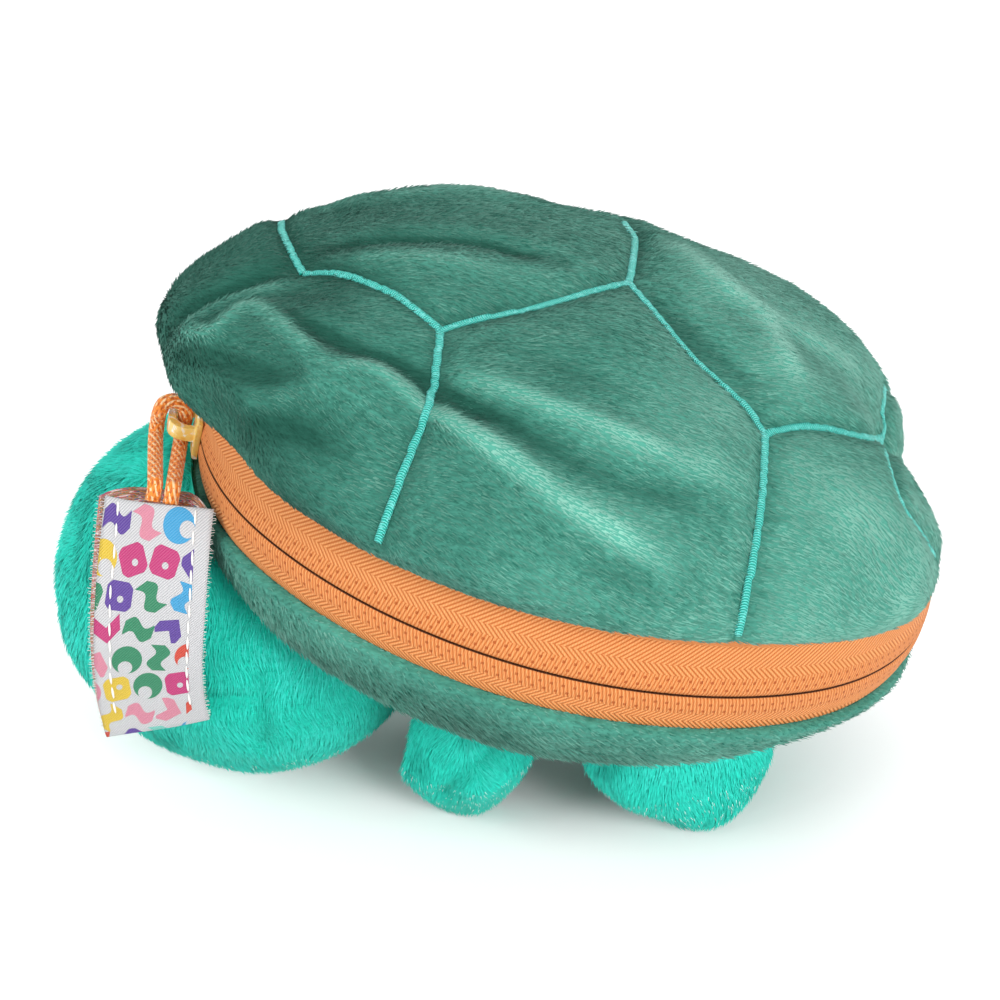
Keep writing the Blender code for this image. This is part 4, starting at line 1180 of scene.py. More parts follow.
def makeTape(name, placeAt, shows, body, replaced):
    bm = bmesh.new()
    layer = bm.loops.layers.uv.new("weave")
    angles = [radians(a) for a in steps(tape["rear"], tape["front"], tape["count"])]
    wall = (tapeEdge["wall"], shell["shoulderShare"] - shell["edgeShare"]) if placeAt is domePlace else (3 * mm, 0.05)
    rings, lengths, last, along = [], [], None, 0.0
    for angle in angles:
        low = tape["half"] + spreadAt(angle)
        ring = []
        top = shows + tape["tuck"] + (edgeRise(angle) if placeAt is domePlace else 0)
        heights = steps(low, top, tape["rows"])
        for side in (0, 1):
            for height in (heights if side == 0 else reversed(heights)):
                share = shell["edgeShare"] * height / shows
                if height > shows:
                    share = shell["edgeShare"] + wall[1] * (height - shows) / wall[0]
                bulge = tape["ridge"] * max(0.0, 1 - (height / tape["sewn"]) ** 2) ** 0.5
                closed = max(0.0, 1 - (height - low) / (0.5 * mm)) * 0.35 * mm
                offset = bulge * 0.6 - closed if side == 0 else -tape["thick"]
                ring.append((placeAt(angle, min(offset, 0.28 * mm), share), height))
        middle = ring[0][0]
        if last is not None:
            along += (middle - last).length
        last = middle
        lengths.append(along)
        rings.append([(bm.verts.new(p), h) for p, h in ring])
    count = len(rings[0])
    for i in range(len(rings) - 1):
        for j in range(count):
            k = (j + 1) % count
            corners = ((i, j), (i, k), (i + 1, k), (i + 1, j))
            face = bm.faces.new([rings[a][b][0] for a, b in corners])
            for loop, (a, b) in zip(face.loops, corners):
                loop[layer].uv = (lengths[a] * 10, rings[a][b][1] * 10)
    for ring in (rings[0], rings[-1]):
        bm.faces.new([v for v, h in ring])
    piece = addPiece(name, bm, body, replaced)
    piece.data.materials.append(tapeMaterial)
    return piece


# Twill that turns over once on its way up, and beside the gap the knitted strip with two rows of holes
def makeTapeMaterial():
    material, tree, shader = newMaterial("twillTape", tape["orange"], 0.6, specular=0.25)
    split = addNode(tree, "ShaderNodeSeparateXYZ")
    tree.links.new(addNode(tree, "ShaderNodeUVMap", uv_map="weave").outputs[0], split.inputs[0])
    along, height = split.outputs[0], split.outputs[1]

    def within(low, high):  # a mask, 1 between two heights over the middle in metres
        return mathNode(tree, "MULTIPLY", mathNode(tree, "GREATER_THAN", height, low * 10),
                        mathNode(tree, "LESS_THAN", height, high * 10))

    def ribs(slant):
        return placeGroup(tree, twill, Along=along, Across=height, Pitch=tape["rib"] * 12.5, Slant=slant,
                          Thread=tape["thread"] * 10, Share=0.35)["Height"]

    upper = mathNode(tree, "GREATER_THAN", height, tape["flip"] * 10)
    cloth = mixValue(tree, upper, ribs(-1.15), ribs(1.15))
    sewn = within(0.0, tape["sewn"])
    knit = placeGroup(tree, twill, Along=along, Across=height, Pitch=0.0075, Slant=0.25, Thread=0.0042, Share=0.5)
    rope = mixValue(tree, sewn, cloth, knit["Height"])
    holes = 0.0
    for low, high, shift in tape["holeRows"]:
        step = mathNode(tree, "ADD", mathNode(tree, "DIVIDE", along, tape["holePitch"] * 10), shift)
        cell = mathNode(tree, "ABSOLUTE", mathNode(tree, "SUBTRACT", mathNode(tree, "FRACT", step), 0.5))
        hole = mathNode(tree, "MULTIPLY", mathNode(tree, "LESS_THAN", cell, 0.14), within(low, high))
        holes = mathNode(tree, "ADD", hole, holes)
    patch = placeGroup(tree, mottle, Scale=500)["Height"]
    # painted highlight on the raised ribs
    tone = mixColour(tree, mathNode(tree, "POWER", rope, 2.0), tape["orange"], tape["paleAndHighlight"])
    tone = mixColour(tree, mathNode(tree, "MULTIPLY", patch, 0.3), tone, tape["orange"])
    # painted shade in the grooves between ribs, then in the holes
    grooveShade = mathNode(tree, "MAXIMUM", mathNode(tree, "SUBTRACT", 0.35, rope), 0.0)
    tone = mixColour(tree, mathNode(tree, "MULTIPLY", grooveShade, 1.6), tone, tape["dark"])
    tone = mixColour(tree, mathNode(tree, "MULTIPLY", holes, 0.85), tone, tape["dark"])
    # painted shade in the narrow gap where the tapes meet
    tone = mixColour(tree, mathNode(tree, "LESS_THAN", height, 0.0026), tone, tape["gap"])
    tree.links.new(tone, shader.inputs["Base Color"])
    bumpNode(tree, shader, mathNode(tree, "SUBTRACT", rope, mathNode(tree, "MULTIPLY", holes, 1.2)), 0.8, 0.0004)
    return material


tapeMaterial = makeTapeMaterial()
makeTape("upperTape", domePlace, shell["upperShows"], "lid", ["upper_zip_tape"])
makeTape("lowerTape", dishPlace, shell["lowerShows"], "base", ["lower_zip_tape"])
print("stage: tapes")


# The coils behind the tapes: one unbroken helix each
coil = {"radius": 0.75 * mm, "wire": 0.24 * mm, "pitch": 1.5 * mm, "setIn": 1.3 * mm, "offset": -1.9 * mm,
        "points": 9, "sides": 5}


def makeCoil(name, side, body, replaced):
    start, end = radians(tape["rear"] + 2), radians(tape["front"] - 4)
    length = (end - start) * (endRadius + 6 * mm)
    count = int(length / coil["pitch"] * coil["points"])
    path = []
    for i in range(count + 1):
        angle = start + (end - start) * i / count
        turn = 2 * pi * i / coil["points"] * side
        height = side * (coil["setIn"] + spreadAt(angle)) + coil["radius"] * sin(turn)
        u, v = rimPoint(angle, coil["offset"] + coil["radius"] * cos(turn))
        path.append(rimPlace(u, v, height))
    bm = tubeAlong(path, lambda along, turn: coil["wire"], coil["sides"])[0]
    piece = addPiece(name, bm, body, replaced)
    piece.data.materials.append(coilMaterial)
    return piece


coilMaterial = mottledMaterial("coilNylon", (0.75, 0.24, 0.05), (0.88, 0.36, 0.12), 0.35, 900, 0.0001)
makeCoil("upperCoil", 1, "lid", ["upper_zip_coil"])
makeCoil("lowerCoil", -1, "base", ["lower_zip_coil"])
print("stage: coils")


# The slider, with its edges eased, in marbled plastic
slider = {"yellow": (0.93, 0.62, 0.16), "white": (0.95, 0.92, 0.80), "amber": (0.90, 0.44, 0.06), "ease": 0.35 * mm}


def makeSlider():
    source = nodes["zip_slider"]
    bm = bmesh.new()
    bm.from_mesh(source.data)
    bmesh.ops.remove_doubles(bm, verts=bm.verts[:], dist=2e-6)
    bmesh.ops.dissolve_limit(bm, angle_limit=radians(3), verts=bm.verts[:], edges=bm.edges[:])
    sharp = [e for e in bm.edges if len(e.link_faces) == 2 and e.calc_face_angle(0) > radians(28)]
    bmesh.ops.bevel(bm, geom=sharp, affect="EDGES", offset=slider["ease"], segments=3, profile=0.5, material=-1, clamp_overlap=True)
    piece = addPiece("sliderBody", bm, "slider", ["zip_slider"])
    material, tree, shader = newMaterial("marbledPlastic", slider["yellow"], 0.22, coat=0.4, subsurface=0.15)
    swirl = noiseNode(tree, 190, 3, 0.55, distortion=2.5).outputs[0]
    tone = rampNode(tree, swirl, [(0.30, slider["amber"]), (0.44, slider["yellow"]), (0.54, slider["yellow"]), (0.62, slider["white"])])
    tree.links.new(tone, shader.inputs["Base Color"])
    bumpNode(tree, shader, placeGroup(tree, mottle, Scale=1500)["Height"], 0.1, 0.0001)
    piece.data.materials.append(material)
    return piece


makeSlider()
for node in ("upper_zip_stop", "lower_zip_stop", "rear_zip_stop"):
    nodes[node].data.materials.clear()
    nodes[node].data.materials.append(coilMaterial)
print("stage: slider")


# The plush strip that hinges the two halves on the far side
gusset = {"count": 90, "rows": 14, "tufts": 12000}


def makeGusset():
    bm = bmesh.new()
    start, end = radians(tape["front"]) + 0.3 * mm / endRadius, radians(360 + tape["rear"]) - 0.3 * mm / endRadius
    low, high = shell["lowerShows"] - shell["gap"], shell["upperShows"] - shell["gap"]
    rings = []
    for angle in steps(start, end, gusset["count"]):
        outer, inner = [], []
        for height in steps(-low, high, gusset["rows"]):
            upper = height > 0
            shows = shell["upperShows"] if upper else shell["lowerShows"]
            placeAt = domePlace if upper else dishPlace
            share = shell["edgeShare"] * abs(height) / shows
            ends = max(0.0, 1 - min(height + low, high - height) / (1.6 * mm))
            crown = 0.8 * mm * (1 - (2 * (height + low) / (high + low) - 1) ** 2)
            outer.append(placeAt(angle, coverOut - 1.3 * mm * ends ** 2 + crown, share))
            inner.append(placeAt(angle, shell["gap"], share))
        rings.append([bm.verts.new(p) for p in outer + inner[::-1]])
    count = len(rings[0])
    for i in range(len(rings) - 1):
        for j in range(count):
            k = (j + 1) % count
            bm.faces.new((rings[i][j], rings[i][k], rings[i + 1][k], rings[i + 1][j]))
    for ring in (rings[0], rings[-1]):
        bm.faces.new(ring)
    bmesh.ops.recalc_face_normals(bm, faces=bm.faces[:])
    mesh = bpy.data.meshes.new("gussetCover")
    bm.to_mesh(mesh)
    bm.free()
    for polygon in mesh.polygons:
        polygon.use_smooth = True
    piece = bpy.data.objects.new("gussetCover", mesh)
    scene.collection.objects.link(piece)
    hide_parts("hinge_gusset")
    places = coordinatesOf(mesh)
    outward = (normalsOf(mesh) * (places - np.array(rimMiddle))).sum(1) > 0
    combNap(mesh, tuple(rimAlong), plush["lift"], plush["long"], np.where(outward, 1.0, 0.0))
    mesh.materials.append(plush["skinMaterial"])
    pile = growPile(piece, "gussetPile", None, plush, gusset["tufts"], 71, flat=False, middle=tuple(rimMiddle))
    for item in (piece, pile):
        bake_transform(item)
    return piece


makeGusset()
print("stage: gusset")


# Head and legs: stuffed plush forms, drawn in where they meet the shell
forms = {"stand": coverOut + 0.3 * mm, "headAround": 160, "headRings": 100, "legAround": 80, "legRings": 56,
         "seamDepth": 1.3 * mm, "seamWidth": 1.2 * mm, "seamRoll": 0.5 * mm, "lump": 0.7 * mm, "inset": 1.0 * mm}
head = {"middle": (-54.387 * mm, 0, 42.4 * mm), "half": 42.5 * mm, "rise": 39 * mm, "drop": 42.9 * mm,
        "tufts": 49000, "chin": 0.10, "high": 41 * mm, "lean": 5 * mm,
        "seamPixels": [[(148, 700), (175, 698), (205, 697), (235, 697), (262, 698)],
                       [(262, 672), (261, 690), (262, 715), (262, 742)]]}
legs = {"spread": 17.5 * mm, "nearTufts": 20000, "farTufts": 12000,
        "front": {"x": -0.887 * mm, "tall": 24 * mm, "halves": (15.0, 12.3, 20.4), "box": 1.41, "turn": 16,
                  "tilt": -12, "lean": (-3.7, 6.6), "shift": (-0.4, -4.9, -6.1)},
        "rear": {"x": 44.613 * mm, "tall": 19 * mm, "halves": (20.2, 12.8, 17.0), "box": 0.62, "turn": 39,
                 "tilt": 37, "lean": (1.4, 3.0), "shift": (-0.9, 1.2, 1.3)},
        "seam": [(497, 735), (488, 750), (475, 765), (462, 778), (445, 790)]}
shellTree = BVHTree.FromBMesh(capMesh(lambda a, s: dishPlace(a, forms["stand"], s), steps(0, 1, 60)[:-1], 200))


def headPoint(azimuth, elevation, stand=0.0):
    rise = head["rise"] if elevation > 0 else head["drop"]
    flat = cos(elevation) * (head["half"] + stand)
    return Vector(head["middle"]) + Vector((-flat * cos(azimuth), -flat * sin(azimuth), (rise + stand) * sin(elevation)))


# Draws a form's points out of the shell and flattens its foot; says which of them stay free
def fitForm(mesh, seamGroups, lumpSize):
    places = coordinatesOf(mesh)
    normals = normalsOf(mesh)
    waves = np.array([noise.noise(Vector(p) / lumpSize) for p in places])
    height = forms["lump"] * waves
    tree = BVHTree.FromPolygons([tuple(p) for p in places], [tuple(f.vertices) for f in mesh.polygons])
    lines = []
    for pixels in seamGroups:
        hits = [castPixel(tree, p.x, p.y) for p in smoothPath([(x, y, 0) for x, y in pixels], 5)]
        lines.append([h for h in hits if h is not None])
    lines = [line for line in lines if len(line) > 1]
    far = distanceTo(places, lines)
    height -= forms["seamDepth"] * np.exp(-0.5 * (far / forms["seamWidth"]) ** 2)
    height += forms["seamRoll"] * np.exp(-0.5 * ((far - 5 * mm) / (3 * mm)) ** 2)
    places += normals * height[:, None]
    free = np.ones(len(places))
    for i, p in enumerate(places):
        place, up = shellTree.find_nearest(Vector(p))[:2]
        depth = (Vector(p) - place).dot(up)
        if depth < 0:
            places[i] = place
        free[i] = min(max((depth + 0.3 * mm) / (1.5 * mm), 0), 1)
    free *= np.clip((places[:, 2] - 0.6 * mm) / (2 * mm), 0, 1)
    places[:, 2] = np.maximum(places[:, 2], 0)
    mesh.vertices.foreach_set("co", places.ravel())
    mesh.update()
    return free, distanceTo(places, lines)


# A ball drawn to a form's sizes; box under 1 squares it a little, and chin narrows its lower half
def ballMesh(middle, long, wide, rise, drop, around, rings, box=1.0, chin=0.0):
    bm = bmesh.new()
    bmesh.ops.create_uvsphere(bm, u_segments=around, v_segments=rings, radius=1)
    inset = forms["inset"]
    for vert in bm.verts:
        x, y, z = (abs(c) ** box * (1 if c > 0 else -1) for c in vert.co)
        slim = 1 - chin * z * z if z < 0 else 1
        tall = rise - inset if z > 0 else drop
        vert.co = Vector(middle) + Vector((x * (long - inset) * slim, y * (wide - inset) * slim, z * tall))
    return bm


def stuffedForm(name, replaced, bm, seamGroups, lumpSize, tufts, seed, middle, bare=()):
    piece = addPiece(name, bm, "base", replaced)
    mesh = piece.data
    free, far = fitForm(mesh, seamGroups, lumpSize)
    places = coordinatesOf(mesh)
    long = np.full(len(places), aqua["long"]) * (0.5 + 0.5 * np.clip(far / (4 * mm), 0, 1))
    for spot, radius in bare:
        away = np.linalg.norm(places - np.array(spot), axis=1)
        free *= np.clip((away - radius) / (0.6 * mm), 0, 1)
        long *= 0.35 + 0.65 * np.clip((away - radius) / (5 * mm), 0, 1)
    flow = normalsOf(mesh) * 0.2 + np.array((0.12, 0, -0.9))
    # tone that differs at random, and painted shade along the seams
    toneAndPaintedLight = 0.6 * np.array([noise.noise(Vector(p) / 0.018) for p in places])
    toneAndPaintedLight -= 0.8 * np.exp(-0.5 * (far / (1.5 * mm)) ** 2)
    combNap(mesh, flow, aqua["lift"], long, free, toneAndPaintedLight, swirl=0.9, swirlSize=0.011)
    mesh.materials.append(aqua["skinMaterial"])
    growPile(piece, name + "Pile", "base", aqua, tufts, seed, flat=False, middle=middle)
    return piece


eyes = {"azimuth": 72, "elevation": 12, "radius": 3 * mm, "rise": 1.7 * mm}
eyePlaces = {side: headPoint(radians(side * eyes["azimuth"]), radians(eyes["elevation"])) for side in (1, -1)}


def makeHead():
    bm = ballMesh(head["middle"], head["half"], head["half"], head["high"], head["drop"], forms["headAround"],
                  forms["headRings"], chin=head["chin"])
    for vert in bm.verts:
        low = min((vert.co.z - head["middle"][2]) / head["drop"], 0)
        vert.co.x += head["lean"] * low * low
    bare = [(place, eyes["radius"] + 0.4 * mm) for place in eyePlaces.values()]
    return stuffedForm("headSkin", ["head_skin", "head_filling"], bm, head["seamPixels"], 16 * mm, head["tufts"],
                       41, head["middle"], bare)


# A leg's pad: a ball drawn to its halves, tilted, turned, and leaning in towards its foot
def legMesh(leg, side, middle):
    bm = bmesh.new()
    bmesh.ops.create_uvsphere(bm, u_segments=forms["legAround"], v_segments=forms["legRings"], radius=1)
    tilt, turn = Matrix.Rotation(radians(leg["tilt"]), 3, "Y"), Matrix.Rotation(radians(leg["turn"]), 3, "Z")
    inset = forms["inset"]
    for vert in bm.verts:
        place = Vector([abs(c) ** leg["box"] * (1 if c > 0 else -1) * (h * mm - inset)
                        for c, h in zip(vert.co, leg["halves"])])
        place = turn @ (tilt @ place)
        low = min(max(-place.z / leg["tall"], 0), 1)
        place += (Vector((*leg["lean"], 0)) * low + Vector(leg["shift"])) * mm
        vert.co = Vector((place.x, place.y * -side, place.z - inset * (place.z < 0))) + middle
    if side > 0:
        bmesh.ops.reverse_faces(bm, faces=bm.faces[:])
    return bm


def makeLegs():
    for place, seed in (("front", 81), ("rear", 91)):
        leg = legs[place]
        for side, word in ((-1, "near"), (1, "far")):
            middle = Vector((leg["x"], side * legs["spread"], leg["tall"] - 0.5 * mm))
            seams = [legs["seam"]] if place == "front" and side < 0 else []
            node = place + "_leg_" + word
            stuffedForm(place + "Leg" + word.title(), [node + "_skin", node + "_filling"], legMesh(leg, side, middle),
                        seams, 12 * mm, legs[word + "Tufts"], seed + side, middle)


makeHead()
makeLegs()
print("stage: head and legs")


# Eyes: domed buttons, glossy black
def makeEyes():
    material = mottledMaterial("eyeBlack", (0.004, 0.004, 0.005), (0.014, 0.013, 0.015), 0.12, 350, 0.0002, coat=0.6)
    for side, name in ((1, "near"), (-1, "far")):
        place = eyePlaces[side]
        out = (place - headPoint(radians(side * eyes["azimuth"]), radians(eyes["elevation"]), -2 * mm)).normalized()
        bm = bmesh.new()
        bmesh.ops.create_uvsphere(bm, u_segments=40, v_segments=24, radius=eyes["radius"])
        turn = out.to_track_quat("Z", "Y").to_matrix()
        for vert in bm.verts:
            tall = vert.co.z * (eyes["rise"] if vert.co.z > 0 else 0.3 * mm) / eyes["radius"]
            vert.co = place + out * 0.5 * mm + turn @ Vector((vert.co.x, vert.co.y, tall))
        piece = addPiece("eye" + name.title(), bm, "base", ["eye_" + name])
        piece.data.materials.append(material)


makeEyes()
print("stage: eyes")


# The woven label: one strip folded at its foot, hung on the cord, its two top edges standing apart
# white is set grey and the motif colours are darkened, as painted shade over the label; shade is painted shade in the
# weave's grooves
label = {"azimuth": 79, "top": 48, "foot": -14, "stand": 3.2 * mm, "away": 9 * mm, "width": 23.8 * mm,
         "apart": 0.42 * mm, "mouth": 3.2 * mm, "mouthShare": 0.12, "grooveShade": 0.018, "stands": 0.11, "behind": 1.7 * mm, "thick": 0.28 * mm,
         "side": ((0.9816, -0.12, 0.0), (0.945, 0.0, 0.30)), "rows": 64, "columns": 24, "cell": 6.9 * mm, "plain": 0.87,
         "white": (0.62, 0.62, 0.63), "paintedShade": (0.40, 0.40, 0.42), "stitch": 3.0 * mm, "stitchGap": 0.7 * mm,
         "margin": 3.4 * mm, "rib": 0.62 * mm, "thread": 0.3 * mm, "ends": 90}
motifColours = [(0.46, 0.010, 0.14), (0.64, 0.44, 0.015), (0.0, 0.19, 0.08), (0.02, 0.29, 0.55), (0.075, 0.022, 0.26),
                (0.55, 0.035, 0.008), (0.60, 0.20, 0.28), (0.16, 0.54, 0.46)]
backColours = [(0.66, 0.13, 0.03), (0.02, 0.22, 0.10), (0.45, 0.16, 0.06), (0.78, 0.76, 0.74), (0.60, 0.06, 0.12),
               (0.05, 0.20, 0.30), (0.70, 0.30, 0.05), (0.16, 0.06, 0.10)]


# The way across the label, which turns a little from its top to its foot
def labelSide(share):
    return Vector(label["side"][0]).lerp(Vector(label["side"][1]), min(max(share, 0), 1)).normalized()


# The middle of the label at a share of its length, and the way out from the head there
def labelFrame(share):
    e = radians(label["top"] + (label["foot"] - label["top"]) * share)
    a = radians(label["azimuth"])
    stand = label["stand"] + label["away"] * (1 - share) ** 2
    middle = headPoint(a, e, stand)
    out = (middle - headPoint(a, e - 0.007, stand)).cross(labelSide(share)).normalized()
    if out.dot(middle - Vector(head["middle"])) < 0:
        out = -out
    return middle, out


# A point of the strip: run goes from 0 at one top edge over 1 at the fold to 2 at the other, across from -1 to 1
def labelPlace(run, across):
    share = run if run <= 1 else 2 - run
    face = 1 if run <= 1 else -1
    if face > 0:  # the front lip sags in its middle
        share += label["grooveShade"] * (1 - across * across) * exp(-share / 0.10) * (1 - share)
    else:  # and the back one stands a little higher
        share -= label["stands"] * (1 - across * across) * exp(-share / 0.10)
    middle, out = labelFrame(min(share, 1))
    near = min(1.0, (1 - share) / 0.03) if share < 1 else 0.0
    apart = label["apart"] * (2 * near - near * near) ** 0.5
    apart += label["mouth"] * (1 - across * across) * exp(-share / label["mouthShare"])
    wave = 0.5 * mm * sin(7 * share + 2.2 * across) * (1 - 0.4 * share) + 0.7 * mm * across ** 4 * (1 - share)
    sway = 0.5 * mm * sin(5.0 * share) - (label["behind"] * (1 - share) ** 0.6 if face < 0 else 0)
    return middle + labelSide(share) * (across * label["width"] / 2 + sway) + out * (face * apart + wave)


def makeLabel():
    bm = bmesh.new()
    layer = bm.loops.layers.uv.new("weave")
    rows, columns = label["rows"], label["columns"]
    shares = [s for s in steps(0, 1, rows) if s < 0.97] + [0.975, 0.985, 0.993, 0.9975, 1.0]
    runs = shares + [2 - s for s in reversed(shares[:-1])]
    grid = [[bm.verts.new(labelPlace(run, across)) for across in steps(-1, 1, columns)] for run in runs]
    for i in range(len(runs) - 1):
        for j in range(columns):
            face = bm.faces.new((grid[i][j], grid[i + 1][j], grid[i + 1][j + 1], grid[i][j + 1]))
            for loop, (a, b) in zip(face.loops, ((i, j), (i + 1, j), (i + 1, j + 1), (i, j + 1))):
                loop[layer].uv = (b / columns * label["width"] * 10, runs[a] * 0.50)
    bm.normal_update()
    bm.faces.ensure_lookup_table()
    if bm.faces[0].normal.dot(labelFrame(0)[1]) < 0:
        bmesh.ops.reverse_faces(bm, faces=bm.faces[:])
    piece = addPiece("labelStrip", bm, "pull", ["pull_label"], normals=False)
    piece.data.materials.append(labelMaterial())
    piece.data.materials.append(labelBack())
    thick = piece.modifiers.new("cloth", "SOLIDIFY")
    thick.thickness = label["thick"]
    thick.offset = 0
    thick.material_offset = 1
    applyModifiers(piece)
    labelThreads()
    return piece


def colourSteps(tree, value, colours):
    node = addNode(tree, "ShaderNodeValToRGB")
    node.color_ramp.interpolation = "CONSTANT"
    while len(node.color_ramp.elements) < len(colours):
        node.color_ramp.elements.new(0.5)
    for i, colour in enumerate(colours):
        node.color_ramp.elements[i].position = i / len(colours)
        node.color_ramp.elements[i].color = (*colour, 1)
    tree.links.new(value, node.inputs[0])
    return node.outputs[0]


# Bold plain shapes, each turned its own way in its own cell: a crescent, a bent bar, a pierced pebble and a wave
def motifShapes(tree, uv):
    def op(kind, first, second=None):
        return mathNode(tree, kind, first, second)

    def both(first, second):
        return op("MULTIPLY", first, second)

    split = addNode(tree, "ShaderNodeSeparateXYZ")
    tree.links.new(uv, split.inputs[0])
    down = op("DIVIDE", split.outputs[1], label["cell"] * 10)
    row = op("FLOOR", down)
    over = op("ADD", op("DIVIDE", split.outputs[0], label["cell"] * 10), op("MULTIPLY", row, 0.37))
    spot = addNode(tree, "ShaderNodeCombineXYZ")
    tree.links.new(op("FLOOR", over), spot.inputs[0])
    tree.links.new(row, spot.inputs[1])
    dice = addNode(tree, "ShaderNodeTexWhiteNoise", noise_dimensions="2D")
    tree.links.new(spot.outputs[0], dice.inputs["Vector"])
    pick = addNode(tree, "ShaderNodeSeparateColor")
    tree.links.new(dice.outputs["Color"], pick.inputs[0])
    local = addNode(tree, "ShaderNodeCombineXYZ")
    tree.links.new(op("SUBTRACT", op("FRACT", over), 0.5), local.inputs[0])
    tree.links.new(op("SUBTRACT", op("FRACT", down), 0.5), local.inputs[1])
    turned = addNode(tree, "ShaderNodeVectorRotate", rotation_type="Z_AXIS")
    tree.links.new(local.outputs[0], turned.inputs["Vector"])
    tree.links.new(op("MULTIPLY", pick.outputs[2], 2 * pi), turned.inputs["Angle"])
    place = addNode(tree, "ShaderNodeSeparateXYZ")
    tree.links.new(turned.outputs[0], place.inputs[0])
    x, y = place.outputs[0], place.outputs[1]

    def far(a, b):
        dx, dy = op("SUBTRACT", x, a), op("SUBTRACT", y, b)
        return op("SQRT", op("ADD", both(dx, dx), both(dy, dy)))

    wide, tall = op("ABSOLUTE", x), op("ABSOLUTE", y)
    crescent = both(op("LESS_THAN", far(0.0, 0.0), 0.48), op("GREATER_THAN", far(0.27, 0.0), 0.23))
    bent = op("ABSOLUTE", op("SUBTRACT", op("ADD", y, op("MULTIPLY", wide, 0.9)), 0.16))
    bent = both(op("LESS_THAN", bent, 0.24), op("LESS_THAN", wide, 0.44))
    pebble = both(op("LESS_THAN", op("MAXIMUM", wide, tall), 0.42), op("LESS_THAN", far(0.0, 0.0), 0.49))
    pebble = both(pebble, op("GREATER_THAN", far(0.08, -0.05), 0.10))
    wave = op("ABSOLUTE", op("SUBTRACT", y, op("MULTIPLY", op("SINE", op("MULTIPLY", x, 8.0)), 0.13)))
    wave = both(op("LESS_THAN", wave, 0.23), op("LESS_THAN", wide, 0.46))
    shape, which = 0.0, pick.outputs[0]
    for i, one in enumerate((crescent, bent, pebble, wave)):
        mine = both(op("GREATER_THAN", which, i / 4), op("LESS_THAN", which, (i + 1) / 4))
        shape = op("ADD", both(one, mine), shape)
    shown = op("LESS_THAN", split.outputs[0], label["plain"] * label["width"] * 10)
    return both(shape, shown), pick.outputs[1], split


def labelMaterial():
    material, tree, shader = newMaterial("wovenLabel", label["white"], 0.5, specular=0.25)
    uv = addNode(tree, "ShaderNodeUVMap", uv_map="weave").outputs[0]
    shape, chosen, split = motifShapes(tree, uv)
    weave = placeGroup(tree, twill, Along=split.outputs[1], Across=split.outputs[0], Pitch=label["rib"] * 10,
                       Slant=0.9, Thread=label["thread"] * 10, Share=0.3)["Height"]
    # painted shade in the grooves of the weave
    ground = mixColour(tree, weave, label["paintedShade"], label["white"])
    inked = colourSteps(tree, chosen, motifColours)
    inked = mixColour(tree, mathNode(tree, "MULTIPLY", weave, 0.12), inked, label["white"])
    tree.links.new(mixColour(tree, shape, ground, inked), shader.inputs["Base Color"])
    bumpNode(tree, shader, mathNode(tree, "ADD", weave, mathNode(tree, "MULTIPLY", shape, 0.8)), 0.7, 0.00015)
    return material


# The wrong side, where the coloured threads run loose in streaks
def labelBack():
    material, tree, shader = newMaterial("labelBack", backColours[0], 0.6, sheen=0.1)
    split = addNode(tree, "ShaderNodeSeparateXYZ")
    tree.links.new(addNode(tree, "ShaderNodeUVMap", uv_map="weave").outputs[0], split.inputs[0])
    streak = addNode(tree, "ShaderNodeCombineXYZ")
    tree.links.new(mathNode(tree, "MULTIPLY", split.outputs[0], 9.0), streak.inputs[0])
    tree.links.new(mathNode(tree, "MULTIPLY", split.outputs[1], 160.0), streak.inputs[1])
    run = mathNode(tree, "FRACT", mathNode(tree, "MULTIPLY", noiseNode(tree, 1, 2, vector=streak.outputs[0]).outputs[0], 7.0))
    tree.links.new(colourSteps(tree, run, backColours), shader.inputs["Base Color"])
    weave = placeGroup(tree, twill, Along=split.outputs[1], Across=split.outputs[0], Pitch=0.004, Slant=0.1,
                       Thread=0.003, Share=0.4)
    bumpNode(tree, shader, weave["Height"], 0.6, 0.0002)
    return material


